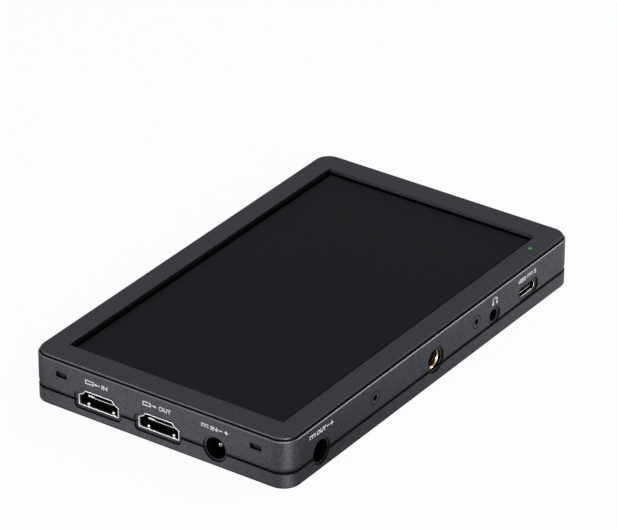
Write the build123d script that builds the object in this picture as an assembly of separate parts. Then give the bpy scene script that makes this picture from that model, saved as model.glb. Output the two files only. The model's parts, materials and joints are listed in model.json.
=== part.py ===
from build123d import *
import os

# Camera field monitor: a flat 6 inch class display in a three layer metal case.
# It lies on its back.  +Z points out of the screen, X runs along the long side,
# Y along the short side, and the origin is the centre of the flat back face.
# All lengths are millimetres.

# ---- case ---------------------------------------------------------------
LENGTH = 154.3          # long side
WIDTH = 94.5            # short side
THICK = 17.0            # back face to bezel face
CORNER_R = 5.75         # upright corner radius
WALL = 1.8              # side wall thickness

COVER_TOP = 4.88        # rear cover ends here
HOUSING_BOTTOM = 5.12   # front housing starts here, above the black seam
HOUSING_TOP = 15.9      # top of the housing rim
HOUSING_TAPER = (1.4, 0.35)   # its lower edge draws in: height and depth
HOUSING_ROUND = 4.0     # large round where the taper starts
HOUSING_CHAMFER = 0.33  # bright cut on its upper edge
RIM_BOTTOM = 16.42      # underside of the bezel rim, above the black groove
BEZEL_INSET = 0.7       # bezel rim stands in from the housing face
BEZEL_ROUND = 0.45      # rounded bezel rim
SPIGOT_INSET = 1.25     # part of the bezel that sits inside the housing rim
RIM_INSET = 1.15        # inner face of the housing rim
SHELF_Z = 15.6          # ledge inside the rim
FRAME_INSET = 2.0       # outer face of the bezel's deep frame
COVER_ROUND = 0.4       # lower edge of the rear cover
COVER_CUT = 0.1         # its upper edge
COVER_FLOOR = 1.6       # rear cover plate thickness
LIP_OUT = 1.9           # locating lip of the rear cover, outer face inset
LIP_IN = 2.8            # and inner face inset
LIP_TOP = 6.0

# ---- screen -------------------------------------------------------------
OPENING_X = 136.9       # sharp cornered opening in the bezel
OPENING_Y = 78.4
ACTIVE_X = 133.8        # lit picture area, 16:9
ACTIVE_Y = 75.3
SCREEN_Z = 15.7         # screen surface, 1.3 below the bezel face
FILM = 0.2              # polariser and light seal thickness
POCKET_X = 141.8        # pocket behind the bezel lip
POCKET_Y = 82.4
PANEL_X = 139.2         # liquid crystal glass
PANEL_Y = 80.4
PANEL_BOTTOM = 14.3
FRAME_X = 140.8         # steel tray that carries the panel
FRAME_Y = 81.6
SHEET = 0.4             # tray sheet thickness
GUIDE_TOP = 13.4        # top of the light guide
STRIP_WIDTH = 1.2       # backlight strip along the lower long side

# ---- inner flange and circuit board ------------------------------------
FLANGE_TOP = 11.75
FLANGE_BOTTOM = 10.0
WINDOW_X = 133.0        # window inside the flange
WINDOW_Y = 75.2
BOARD_TOP = 10.0
BOARD_BOTTOM = 9.0
BOARD_LEFT = -70.7
BOARD_RIGHT = 65.0
BOARD_HALF_Y = 41.0
LAMP_TAB_X = (57.7, 64.5)
LAMP_TAB_Y = -43.2

# ---- ports: u is the position along the side, z the height --------------
RECESS = 0.5            # depth of the shallow recess around each port
NOTCH_GAP = 0.3         # black gap between housing tongue and cover notch
VIDEO_Z = 6.3
VIDEO_IN_Y = 22.3
VIDEO_OUT_Y = 0.0
VIDEO_HALF = 7.5        # half of the receptacle's wide side
VIDEO_TOP_HALF = 5.05   # half of its narrow side
VIDEO_HALF_Z = 2.7
VIDEO_BEND_Z = 0.8      # where the sloped corners start
VIDEO_WAIST = (5.75, 1.65)    # and where they turn steeper
VIDEO_ROUND = 0.4
VIDEO_RING = 1.2        # recess margin around the receptacle
VIDEO_SHEET = 0.35      # receptacle shell thickness
VIDEO_LENGTH = 11.0
POWER_IN_Y = -20.9
POWER_IN_Z = 5.9
POWER_OUT_X = -60.3
POWER_OUT_Z = 6.0
POWER_RING_R = 4.4
POWER_HOLE_R = 3.6
POWER_NOSE_R = 3.5
POWER_MOUTH_R = 3.2
POWER_BORE_R = 2.8      # for a 5.5 mm barrel plug
POWER_PIN_R = 1.0
POWER_PIN_START = 2.4   # depth of the pin's tip
POWER_BODY_HALF = 4.5
POWER_BODY_BOTTOM = 1.75
POWER_BODY_LENGTH = 11.0
TRIPOD_X = 0.0
TRIPOD_Z = 7.85
TRIPOD_RING_R = 4.4
TRIPOD_HOLE_R = 3.3     # opening in front of the insert
TRIPOD_FACE = 1.3       # depth of the insert's face
TRIPOD_STEP = 3.2       # depth of the insert's shoulder
TRIPOD_NECK_R = 3.35
TRIPOD_BODY_R = 3.7
TRIPOD_END = 8.2
TRIPOD_BORE_R = 2.55    # tapping size of a 1/4 inch, 20 per inch thread
TRIPOD_BOSS_R = 4.9
TRIPOD_BOSS_END = 8.9
PHONES_X = 32.6
PHONES_Z = 7.95
PHONES_RING_R = 3.1
PHONES_HOLE_R = 2.0
PHONES_NOSE_R = 1.95
PHONES_BORE_R = 1.8     # socket for a 3.5 mm plug
PHONES_HALF = 3.3
PHONES_END = 14.0
PHONES_BACK = 1.0
DATA_X = 51.7
DATA_Z = 8.33
DATA_W = 8.94           # reversible data receptacle, outer shell
DATA_H = 3.26
DATA_RING = 1.25
DATA_SHEET = 0.3
DATA_LENGTH = 7.4
DATA_BACK = 1.0
FIT = 0.02              # clearance of a pressed or screwed piece
GAP = 0.1               # clearance around a receptacle
ROOM = 0.7              # wider room around a piece

# ---- small features on the sides ----------------------------------------
HOOD_SLOT_Y = 35.6      # slots that a sun shade clips into
HOOD_SLOT_Z = 11.73
HOOD_SLOT_L = 4.15
HOOD_SLOT_H = 1.9
HOOD_SLOT_DEPTH = 0.95
HOOD_SLOT_R = 0.4
DIMPLE_XS = (-32.45, 22.5)   # pinholes in the lower long side, each inside a ring groove
DIMPLE_Z = 10.45
DIMPLE_RING = (2.05, 2.3)    # inner and outer radius of the groove
DIMPLE_RING_DEPTH = 0.3
DIMPLE_HOLE_R = 0.95
DIMPLE_HOLE_DEPTH = 1.3
LAMP_X = 60.8           # status lamp beside the screen
LAMP_Y = -41.95
LAMP_R = 0.6

# ---- power button on the far long side -----------------------------------
BUTTON_X = 50.0
BUTTON_Z = 7.6
BUTTON_L = 9.0
BUTTON_H = 3.2
BUTTON_FIT = 0.05
BUTTON_RECESS = 0.35
BUTTON_COLLAR_STEP = 0.5
BUTTON_COLLAR = (1.85, 2.95)   # depths of the collar's two faces
BUTTON_CUT = 0.15              # chamfer round the cap
BUTTON_DISH = 0.8              # margin of the shallow dish in the cap
BUTTON_END = 3.7               # depth of the cap's inner end
BUTTON_TRAVEL = 0.5
STEM_R = 1.0
STEM_HOLE_R = 1.05
SWITCH_HALF = 3.0
SWITCH_FACE = 6.1              # depth of the switch body's front
SWITCH_DEPTH = 3.6
SWITCH_BOTTOM = 5.6
STEM_IN = 0.7

# ---- fasteners -----------------------------------------------------------
POST_XY = ((-70.3, -40.3), (70.3, -40.3), (-70.3, 40.3), (70.3, 40.3), (12.0, -40.3), (30.0, 40.3))
POST_R = 2.6
COVER_SCREW_R = 1.25
COVER_HEAD_R = 2.35
COVER_HEAD_Z = 0.15
COVER_HEAD_H = 1.1
COVER_SCREW_TOP = 7.2
BEZEL_SCREW_XY = tuple(
    [(x, y) for x in (-46.0, -21.0, 19.0, 41.5) for y in (-43.2, 43.2)]
    + [(x, y) for x in (-73.0, 73.0) for y in (-12.65, 11.0)]
)
BEZEL_SCREW_R = 0.8
BEZEL_SCREW_TOP = 14.6
BOARD_SCREW_XY = tuple(
    [(x, y) for x in (-36.0, 22.0, 62.0) for y in (-39.2, 39.2)]
    + [(-68.4, y) for y in (-12.65, 11.0)]
)
BOARD_SCREW_R = 1.0
BOARD_SCREW_TOP = 11.3
HEAD_R = 1.8
HEAD_H = 1.3
SOCKET_R = 0.7          # drive recess in each screw head
SOCKET_DEPTH = 0.6
PLATE_HALF = 37.5       # 75 mm square pattern on the back
PLATE_BOSS_R = 4.0
PLATE_INSERT_R = 3.0
PLATE_INSERT_TOP = 4.6
PLATE_BORE_R = 1.65     # tapping size of an M4 thread

# ---- cooling -------------------------------------------------------------
VENT_XS = tuple(range(-24, 25, 4))
VENT_W = 1.6
VENT_L = 22.0
MESH_HALF = (28.0, 13.0)
MESH_TOP = 1.75
SINK_Y = 5.0
SINK_HALF = (27.0, 25.0)
SINK_BOTTOM = 5.8
SINK_TOP = 6.8
FIN_TIP = 2.3
FIN_W = 1.0
FIN_PITCH = 3.0
FIN_SHORT = 9.0         # how much shorter the fins beside the standoffs are
CHIP_HALF = 8.5
CHIP_BOTTOM = 7.6
STANDOFF_XY = tuple((x, y) for x in (-23.0, 23.0) for y in (-16.0, 26.0))
STANDOFF_R = 2.0


# ---- screen ribbon ---------------------------------------------------------
RIBBON_HALF = 12.0
RIBBON = 0.12
RIBBON_RUN_Z = 10.7
SOCKET_Y = (31.0, 34.5)     # ribbon socket on the board
SOCKET_TOP = 11.3

# ---- parts on the underside of the board: centre, size and height ----------
CAN = (-60.0, -31.0, -16.0, 26.0)      # shield can footprint
CAN_BOTTOM = 7.0
CAN_SHEET = 0.25
SMALL_CHIPS = (
    (-44.0, -27.0, 7.0, 7.0, 1.1),
    (-24.0, -30.0, 9.0, 6.0, 1.2),
    (44.0, 20.0, 8.0, 8.0, 1.0),
    (44.0, 0.0, 6.0, 10.0, 1.1),
    (50.0, -20.0, 7.0, 5.0, 1.2),
    (22.0, -29.0, 5.0, 5.0, 0.9),
)
COIL_XY = ((-57.0, -26.0), (34.0, -24.0), (56.0, 6.0))
COIL_HALF = 3.0
COIL_H = 3.0
CAPACITOR_XY = ((-33.0, -28.0), (-12.0, -30.0), (40.0, -12.0), (58.0, -8.0), (58.0, 22.0))
CAPACITOR_R = 2.0
CAPACITOR_H = 4.2

# ---- tongues and contacts of the receptacles --------------------------------
TONGUE_HALF = 4.9
TONGUE_LIFT = 0.2
TONGUE_H = 1.9
TONGUE_DEPTHS = (1.5, 9.5)
CONTACT_W = 0.5
CONTACT_T = 0.12
CONTACT_START = 1.9
DATA_TONGUE_W = 6.7
DATA_TONGUE_H = 0.7
DATA_TONGUE_START = 1.3
DATA_PITCH = 0.5
DATA_COUNT = 12

EPS = 0.01

LEFT = Plane(origin=(-LENGTH / 2, 0, 0), x_dir=(0, 1, 0), z_dir=(1, 0, 0))
RIGHT = Plane(origin=(LENGTH / 2, 0, 0), x_dir=(0, -1, 0), z_dir=(-1, 0, 0))
NEAR = Plane(origin=(0, -WIDTH / 2, 0), x_dir=(-1, 0, 0), z_dir=(0, 1, 0))
FAR = Plane(origin=(0, WIDTH / 2, 0), x_dir=(1, 0, 0), z_dir=(0, -1, 0))


# ---- helpers -------------------------------------------------------------
def plate(inset, z0, z1):
    """Rounded slab that follows the case outline, inset from its side faces."""
    radius = max(CORNER_R - inset, 0.5)
    outline = RectangleRounded(LENGTH - 2 * inset, WIDTH - 2 * inset, radius)
    return extrude(Pos(0, 0, z0) * outline, z1 - z0)


def ring(outer, inner, z0, z1):
    """Closed band between two insets of the case outline."""
    return plate(outer, z0, z1) - plate(inner, z0, z1)


def block(x0, x1, y0, y1, z0, z1):
    """Box given by its two corners."""
    size = Box(x1 - x0, y1 - y0, z1 - z0)
    return Pos((x0 + x1) / 2, (y0 + y1) / 2, (z0 + z1) / 2) * size


def slab(size_x, size_y, z0, z1):
    """Box centred on the Z axis."""
    return block(-size_x / 2, size_x / 2, -size_y / 2, size_y / 2, z0, z1)


def rod(x, y, radius, z0, z1):
    """Upright cylinder."""
    return Pos(x, y, (z0 + z1) / 2) * Cylinder(radius, z1 - z0)


def bore(side, shape, depth0, depth1):
    """Prism of a side outline between two depths below that side's face."""
    return extrude(side.offset(depth0) * shape, depth1 - depth0)


def outer_edges(solid, z):
    """Edges of the case outline at one height."""
    return solid.edges().filter_by_position(Axis.Z, z - EPS, z + EPS)


# ---- side outlines -------------------------------------------------------
def video_outline(centre, margin):
    """Receptacle outline with hollow, softened corners, grown by margin."""
    bend = (VIDEO_HALF, VIDEO_BEND_Z)
    top = (VIDEO_TOP_HALF, VIDEO_HALF_Z)
    right = [(VIDEO_HALF, -VIDEO_HALF_Z), bend, VIDEO_WAIST, top]
    corners = right + [(-x, z) for x, z in reversed(right)]
    core = offset(make_face(Polyline(*corners, close=True)), -VIDEO_ROUND)
    return Pos(centre, VIDEO_Z) * offset(core, VIDEO_ROUND + margin)


def data_outline(margin):
    """Stadium of the data receptacle, grown by margin."""
    height = DATA_H + 2 * margin
    width = DATA_W + 2 * margin
    return Pos(-DATA_X, DATA_Z) * SlotOverall(width, height)


def button_outline(margin):
    """Stadium of the power button, grown by margin."""
    length = BUTTON_L + 2 * margin
    height = BUTTON_H + 2 * margin
    return Pos(BUTTON_X, BUTTON_Z) * SlotOverall(length, height)


def port_rings(margin):
    """Outlines of the recesses that notch into the rear cover, with their sides."""
    rings = [(LEFT, video_outline(y, VIDEO_RING + margin)) for y in (VIDEO_IN_Y, VIDEO_OUT_Y)]
    rings.append((LEFT, Pos(POWER_IN_Y, POWER_IN_Z) * Circle(POWER_RING_R + margin)))
    rings.append((NEAR, Pos(-POWER_OUT_X, POWER_OUT_Z) * Circle(POWER_RING_R + margin)))
    rings.append((NEAR, Pos(-TRIPOD_X, TRIPOD_Z) * Circle(TRIPOD_RING_R + margin)))
    return rings


# ---- case ----------------------------------------------------------------
def front_bezel():
    """Picture frame of machined aluminium with a sharp cornered opening."""
    rim = plate(BEZEL_INSET, RIM_BOTTOM, THICK)
    rim = fillet(outer_edges(rim, THICK), BEZEL_ROUND)
    body = rim + plate(SPIGOT_INSET, SCREEN_Z, RIM_BOTTOM)
    body += plate(FRAME_INSET, FLANGE_TOP, SCREEN_Z)
    body -= slab(POCKET_X, POCKET_Y, FLANGE_TOP, SCREEN_Z)
    body -= slab(OPENING_X, OPENING_Y, SCREEN_Z, THICK)
    for x, y in BEZEL_SCREW_XY:
        body -= rod(x, y, BEZEL_SCREW_R, FLANGE_TOP, BEZEL_SCREW_TOP + BEZEL_INSET)
    return body - rod(LAMP_X, LAMP_Y, LAMP_R + FIT, FLANGE_TOP, THICK)


def bezel_gasket():
    """Black rubber ring that fills the groove under the bezel rim."""
    lip_inset = HOUSING_CHAMFER + FIT
    wall_inset = BEZEL_INSET + GAP * 2
    lip = ring(lip_inset, SPIGOT_INSET - FIT, HOUSING_TOP, HOUSING_TOP + GAP)
    return lip + ring(wall_inset, SPIGOT_INSET - FIT, HOUSING_TOP, RIM_BOTTOM)


def housing_shell():
    """Side wall with rounded lower edge, chamfered rim and inner flange."""
    wall = plate(0, HOUSING_BOTTOM, HOUSING_TOP)
    height, depth = HOUSING_TAPER
    face = wall.faces().filter_by_position(Axis.Z, HOUSING_BOTTOM - EPS, HOUSING_BOTTOM + EPS)[0]
    wall = chamfer(outer_edges(wall, HOUSING_BOTTOM), depth, height, reference=face)
    wall = fillet(outer_edges(wall, HOUSING_BOTTOM + height), HOUSING_ROUND)
    wall = chamfer(outer_edges(wall, HOUSING_TOP), HOUSING_CHAMFER)
    wall -= plate(WALL, HOUSING_BOTTOM, SHELF_Z)
    wall -= plate(RIM_INSET, SHELF_Z, HOUSING_TOP)
    flange = plate(WALL - EPS, FLANGE_BOTTOM, FLANGE_TOP)
    return wall + (flange - slab(WINDOW_X, WINDOW_Y, FLANGE_BOTTOM, FLANGE_TOP))


def tripod_cuts():
    """Opening, neck and body bores for the threaded insert."""
    steps = [
        (TRIPOD_HOLE_R, RECESS, TRIPOD_FACE),
        (TRIPOD_NECK_R, TRIPOD_FACE, TRIPOD_STEP),
        (TRIPOD_BODY_R, TRIPOD_STEP, TRIPOD_END),
    ]
    centre = Pos(-TRIPOD_X, TRIPOD_Z)
    cuts = [bore(NEAR, centre * Circle(radius), start, end) for radius, start, end in steps]
    return cuts[0] + cuts[1] + cuts[2]


def front_housing():
    """Middle frame: carries the bezel, the board and every port."""
    body = housing_shell()
    for x, y in POST_XY:
        body += rod(x, y, POST_R, COVER_FLOOR, FLANGE_BOTTOM)
    centre = Pos(-TRIPOD_X, TRIPOD_Z)
    boss = bore(NEAR, centre * Circle(TRIPOD_BOSS_R), TRIPOD_STEP, TRIPOD_BOSS_END)
    boss += bore(NEAR, centre * Circle(TRIPOD_RING_R - NOTCH_GAP), RECESS, TRIPOD_STEP)
    body += boss - slab(LENGTH, WIDTH, FLANGE_TOP, THICK)
    for side, outline in port_rings(-NOTCH_GAP)[:-1]:
        body += bore(side, outline, RECESS, WALL)
    for side, outline in port_rings(0):
        body -= bore(side, outline, 0, RECESS)
    body -= bore(NEAR, Pos(-PHONES_X, PHONES_Z) * Circle(PHONES_RING_R), 0, RECESS)
    body -= bore(NEAR, data_outline(DATA_RING), 0, RECESS)
    body -= tripod_cuts()
    for y in (VIDEO_IN_Y, VIDEO_OUT_Y):
        body -= bore(LEFT, video_outline(y, GAP), RECESS, WALL)
    body -= bore(LEFT, Pos(POWER_IN_Y, POWER_IN_Z) * Circle(POWER_HOLE_R), RECESS, WALL)
    body -= bore(NEAR, Pos(-POWER_OUT_X, POWER_OUT_Z) * Circle(POWER_HOLE_R), RECESS, WALL)
    body -= bore(NEAR, Pos(-PHONES_X, PHONES_Z) * Circle(PHONES_HOLE_R), RECESS, WALL)
    body -= bore(NEAR, data_outline(GAP), RECESS, WALL)
    return body - housing_small_cuts()


def dimple(x):
    """Blind pinhole inside a ring groove."""
    centre = Pos(-x, DIMPLE_Z)
    inner, outer = DIMPLE_RING
    groove = bore(NEAR, centre * (Circle(outer) - Circle(inner)), 0, DIMPLE_RING_DEPTH)
    return groove + bore(NEAR, centre * Circle(DIMPLE_HOLE_R), 0, DIMPLE_HOLE_DEPTH)


def housing_small_cuts():
    """Shade slots, pinholes, button hole and screw holes."""
    cuts = [dimple(x) for x in DIMPLE_XS]
    slot = RectangleRounded(HOOD_SLOT_L, HOOD_SLOT_H, HOOD_SLOT_R)
    for side in (LEFT, RIGHT):
        for y in (-HOOD_SLOT_Y, HOOD_SLOT_Y):
            cuts.append(bore(side, Pos(y, HOOD_SLOT_Z) * slot, 0, HOOD_SLOT_DEPTH))
    cuts.append(bore(FAR, button_outline(BUTTON_FIT), 0, WALL))
    for x, y in BEZEL_SCREW_XY:
        cuts.append(rod(x, y, BOARD_SCREW_R, FLANGE_BOTTOM, FLANGE_TOP))
    for x, y in BOARD_SCREW_XY:
        cuts.append(rod(x, y, BOARD_SCREW_R, FLANGE_BOTTOM, FLANGE_TOP))
    for x, y in POST_XY:
        cuts.append(rod(x, y, COVER_SCREW_R, COVER_FLOOR, COVER_SCREW_TOP + ROOM))
    cuts.append(rod(LAMP_X, LAMP_Y, BOARD_SCREW_R, FLANGE_BOTTOM, FLANGE_TOP))
    reach = RIBBON_HALF + ROOM
    y0 = WINDOW_Y / 2 - ROOM
    cuts.append(block(-reach, reach, y0, FRAME_Y / 2, FLANGE_BOTTOM, FLANGE_TOP))
    return cuts


def seam_gasket():
    """Black ring between housing and rear cover, dipping around the low ports."""
    inner = WALL - GAP / 2
    outer = COVER_CUT + FIT
    band = ring(outer, inner, COVER_TOP, HOUSING_BOTTOM)
    below = slab(LENGTH, WIDTH, 0, COVER_TOP)
    for side, outline in port_rings(0):
        band += bore(side, outline, outer, inner) & below
    for side, outline in port_rings(-NOTCH_GAP):
        band -= bore(side, outline, 0, WALL)
    return band


def rear_cover():
    """Shallow aluminium tray with vents, mounting bosses and screw holes."""
    tray = plate(0, 0, COVER_TOP)
    tray = fillet(outer_edges(tray, 0), COVER_ROUND)
    tray = chamfer(outer_edges(tray, COVER_TOP), COVER_CUT)
    tray -= plate(WALL, COVER_FLOOR, COVER_TOP)
    tray += ring(LIP_OUT, LIP_IN, COVER_FLOOR, LIP_TOP)
    tray += ring(WALL - EPS, LIP_IN, COVER_FLOOR, COVER_TOP - NOTCH_GAP)
    for side, outline in port_rings(0):
        tray -= bore(side, outline, 0, LIP_IN)
    lip_y = WIDTH / 2 - WALL
    low = PHONES_Z - PHONES_RING_R
    x0 = PHONES_X - PHONES_HALF - ROOM
    x1 = DATA_X + DATA_W / 2 + ROOM
    tray -= block(x0, x1, -lip_y, LIP_IN - WIDTH / 2, low, LIP_TOP)
    reach = BUTTON_L / 2 + BUTTON_COLLAR_STEP + ROOM
    x0 = BUTTON_X - reach
    x1 = BUTTON_X + reach
    tray -= block(x0, x1, WIDTH / 2 - LIP_IN, lip_y, COVER_TOP - NOTCH_GAP, LIP_TOP)
    for x in (-PLATE_HALF, PLATE_HALF):
        for y in (-PLATE_HALF, PLATE_HALF):
            tray += rod(x, y, PLATE_BOSS_R, COVER_FLOOR, PLATE_INSERT_TOP)
            tray -= rod(x, y, PLATE_INSERT_R, 0, PLATE_INSERT_TOP)
    vent = extrude(SlotOverall(VENT_L, VENT_W, rotation=90), COVER_FLOOR)
    for x in VENT_XS:
        tray -= Pos(x, 0, 0) * vent
    for x, y in POST_XY:
        tray -= rod(x, y, COVER_SCREW_R + GAP, 0, COVER_FLOOR)
        tray -= head_cone(x, y, GAP / 2) + rod(x, y, COVER_HEAD_R + GAP / 2, 0, COVER_HEAD_Z)
    return tray


# ---- fasteners -------------------------------------------------------------
def head_cone(x, y, margin):
    """Flat head of a countersunk screw."""
    wide = COVER_HEAD_R + margin
    narrow = COVER_SCREW_R + margin
    cone = Cone(wide, narrow, COVER_HEAD_H)
    return Pos(x, y, COVER_HEAD_Z + COVER_HEAD_H / 2) * cone


def cover_screws():
    """Six countersunk screws through the back."""
    screws = []
    for x, y in POST_XY:
        screw = head_cone(x, y, 0) + rod(x, y, COVER_SCREW_R - FIT, COVER_HEAD_Z, COVER_SCREW_TOP)
        screws.append(screw - rod(x, y, SOCKET_R, COVER_HEAD_Z, COVER_HEAD_Z + SOCKET_DEPTH))
    return screws


def pan_screws(places, radius, seat, top):
    """Screws with round heads below a seat, pointing at +Z."""
    screws = []
    for x, y in places:
        screw = rod(x, y, HEAD_R, seat - HEAD_H, seat) + rod(x, y, radius - FIT, seat, top)
        screws.append(screw - rod(x, y, SOCKET_R, seat - HEAD_H, seat - HEAD_H + SOCKET_DEPTH))
    return screws


def bezel_screws():
    return pan_screws(BEZEL_SCREW_XY, BEZEL_SCREW_R, FLANGE_BOTTOM, BEZEL_SCREW_TOP)


def board_screws():
    return pan_screws(BOARD_SCREW_XY, BOARD_SCREW_R, BOARD_BOTTOM, BOARD_SCREW_TOP)


def sink_screws():
    return pan_screws(STANDOFF_XY, BOARD_SCREW_R, SINK_BOTTOM, BOARD_BOTTOM - NOTCH_GAP)


def plate_inserts():
    """Four threaded inserts, open to the back face."""
    inserts = []
    for x in (-PLATE_HALF, PLATE_HALF):
        for y in (-PLATE_HALF, PLATE_HALF):
            body = rod(x, y, PLATE_INSERT_R - FIT, 0, PLATE_INSERT_TOP)
            inserts.append(body - rod(x, y, PLATE_BORE_R, 0, PLATE_INSERT_TOP))
    return inserts


def tripod_insert():
    """Stepped brass insert with the tripod thread's bore."""
    centre = Pos(-TRIPOD_X, TRIPOD_Z)
    neck = bore(NEAR, centre * Circle(TRIPOD_NECK_R - FIT), TRIPOD_FACE, TRIPOD_STEP)
    body = bore(NEAR, centre * Circle(TRIPOD_BODY_R - FIT), TRIPOD_STEP, TRIPOD_END)
    return neck + body - bore(NEAR, centre * Circle(TRIPOD_BORE_R), TRIPOD_FACE, TRIPOD_END)


# ---- display stack ---------------------------------------------------------


def screen_film():
    return slab(ACTIVE_X - GAP, ACTIVE_Y - GAP, SCREEN_Z - FILM, SCREEN_Z)


def light_seal():
    """Thin black border around the picture, under the bezel lip."""
    border = slab(FRAME_X, FRAME_Y, SCREEN_Z - FILM, SCREEN_Z)
    return border - slab(ACTIVE_X, ACTIVE_Y, SCREEN_Z - FILM, SCREEN_Z)


def lcd_panel():
    return slab(PANEL_X, PANEL_Y, PANEL_BOTTOM, SCREEN_Z - FILM)


def diffuser_films():
    return slab(PANEL_X, PANEL_Y, GUIDE_TOP, PANEL_BOTTOM)


def light_guide():
    """Clear plate that spreads the strip's light, clear of the strip."""
    low = -PANEL_Y / 2
    bottom = FLANGE_TOP + SHEET
    return block(-PANEL_X / 2, PANEL_X / 2, low + STRIP_WIDTH, -low, bottom, GUIDE_TOP)


def backlight_strip():
    """Strip carrier with its row of lamps against the guide's edge."""
    low = -PANEL_Y / 2
    bottom = FLANGE_TOP + SHEET
    return block(-PANEL_X / 2, PANEL_X / 2, low, low + STRIP_WIDTH - GAP, bottom, GUIDE_TOP)


def panel_frame():
    """Folded steel tray under the display stack, open where the ribbon leaves."""
    tray = slab(FRAME_X, FRAME_Y, FLANGE_TOP, SCREEN_Z - FILM)
    tray -= slab(FRAME_X - 2 * SHEET, FRAME_Y - 2 * SHEET, FLANGE_TOP + SHEET, SCREEN_Z - FILM)
    reach = RIBBON_HALF + GAP * 2
    inner = FRAME_Y / 2 - SHEET
    return tray - block(-reach, reach, PANEL_Y / 2 - GAP, inner, FLANGE_TOP, FLANGE_TOP + SHEET)


def panel_ribbon():
    """Flat cable from the panel's edge, down and back to its socket."""
    edge = PANEL_Y / 2
    down = block(-RIBBON_HALF, RIBBON_HALF, edge, edge + RIBBON, RIBBON_RUN_Z, SCREEN_Z - FILM * 2)
    run_top = RIBBON_RUN_Z + RIBBON
    return down + block(-RIBBON_HALF, RIBBON_HALF, SOCKET_Y[1], edge + EPS, RIBBON_RUN_Z, run_top)


def ribbon_socket():
    reach = RIBBON_HALF + ROOM
    return block(-reach, reach, SOCKET_Y[0], SOCKET_Y[1], BOARD_TOP, SOCKET_TOP)


# ---- circuit board ---------------------------------------------------------


def main_board():
    """Board with notches for the posts, the tripod boss and the recessed ports."""
    half = BOARD_HALF_Y
    board = block(BOARD_LEFT, BOARD_RIGHT, -half, half, BOARD_BOTTOM, BOARD_TOP)
    x0, x1 = LAMP_TAB_X
    board += block(x0, x1, LAMP_TAB_Y, -half + ROOM, BOARD_BOTTOM, BOARD_TOP)
    for x, y in POST_XY:
        board -= rod(x, y, POST_R + NOTCH_GAP, BOARD_BOTTOM, BOARD_TOP)
        side = 1 if y > 0 else -1
        edge = sorted((y, side * (half + 1)))
        low_x = x - POST_R - NOTCH_GAP
        high_x = x + POST_R + NOTCH_GAP
        board -= block(low_x, high_x, edge[0], edge[1], BOARD_BOTTOM, BOARD_TOP)
    tripod_half = TRIPOD_BOSS_R + NOTCH_GAP
    notches = [
        (TRIPOD_X - tripod_half, TRIPOD_X + tripod_half, WIDTH / 2 - TRIPOD_BOSS_END - NOTCH_GAP),
        (PHONES_X - PHONES_HALF - GAP, PHONES_X + PHONES_HALF + GAP, WIDTH / 2 - PHONES_END - GAP),
        (DATA_X - DATA_W / 2 - GAP, DATA_X + DATA_W / 2 + GAP, WIDTH / 2 - RECESS - DATA_LENGTH - GAP),
    ]
    for x0, x1, depth in notches:
        board -= block(x0, x1, -half - 1, -depth, BOARD_BOTTOM, BOARD_TOP)
    for x, y in BOARD_SCREW_XY:
        board -= rod(x, y, BOARD_SCREW_R + GAP, BOARD_BOTTOM, BOARD_TOP)
    return board


def processor():
    side = 2 * CHIP_HALF
    return Pos(0, SINK_Y, (CHIP_BOTTOM + BOARD_BOTTOM) / 2) * Box(side, side, BOARD_BOTTOM - CHIP_BOTTOM)


def thermal_pad():
    side = 2 * CHIP_HALF
    return Pos(0, SINK_Y, (SINK_TOP + CHIP_BOTTOM) / 2) * Box(side, side, CHIP_BOTTOM - SINK_TOP)


def heat_sink():
    """Finned aluminium plate between the processor and the vents."""
    half_x, half_y = SINK_HALF
    y0 = SINK_Y - half_y
    y1 = SINK_Y + half_y
    sink = block(-half_x, half_x, y0, y1, SINK_BOTTOM, SINK_TOP)
    count = int((2 * half_x - FIN_W) // FIN_PITCH)
    first = -count * FIN_PITCH / 2
    clear = HEAD_R + ROOM
    for index in range(count + 1):
        x = first + index * FIN_PITCH
        fin_y = (y0 + FIN_SHORT, y1 - FIN_SHORT)
        if abs(x) < STANDOFF_XY[-1][0] - clear:
            fin_y = (y0, y1)
        sink += block(x - FIN_W / 2, x + FIN_W / 2, fin_y[0], fin_y[1], FIN_TIP, SINK_BOTTOM)
    for x, y in STANDOFF_XY:
        sink -= rod(x, y, BOARD_SCREW_R + GAP, SINK_BOTTOM, SINK_TOP)
    return sink


def sink_standoffs():
    """Brass standoffs between the board and the heat sink."""
    posts = []
    for x, y in STANDOFF_XY:
        post = rod(x, y, STANDOFF_R, SINK_TOP, BOARD_BOTTOM)
        posts.append(post - rod(x, y, BOARD_SCREW_R, SINK_TOP, BOARD_BOTTOM))
    return posts


def shield_can():
    """Folded steel can over the video circuits."""
    x0, x1, y0, y1 = CAN
    can = block(x0, x1, y0, y1, CAN_BOTTOM, BOARD_BOTTOM)
    s = CAN_SHEET
    return can - block(x0 + s, x1 - s, y0 + s, y1 - s, CAN_BOTTOM + s, BOARD_BOTTOM)


def board_chips():
    chips = []
    for x, y, size_x, size_y, height in SMALL_CHIPS:
        z = BOARD_BOTTOM - height / 2
        chips.append(Pos(x, y, z) * Box(size_x, size_y, height))
    return chips


def power_coils():
    z = BOARD_BOTTOM - COIL_H / 2
    return [Pos(x, y, z) * Box(2 * COIL_HALF, 2 * COIL_HALF, COIL_H) for x, y in COIL_XY]


def capacitors():
    low = BOARD_BOTTOM - CAPACITOR_H
    return [rod(x, y, CAPACITOR_R, low, BOARD_BOTTOM) for x, y in CAPACITOR_XY]


def dust_mesh():
    half_x, half_y = MESH_HALF
    return block(-half_x, half_x, -half_y, half_y, COVER_FLOOR, MESH_TOP)


# ---- connectors --------------------------------------------------------------


def video_shell(y):
    """Stamped receptacle shell."""
    tube = video_outline(y, 0) - video_outline(y, -VIDEO_SHEET)
    return bore(LEFT, tube, RECESS, RECESS + VIDEO_LENGTH)


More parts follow.
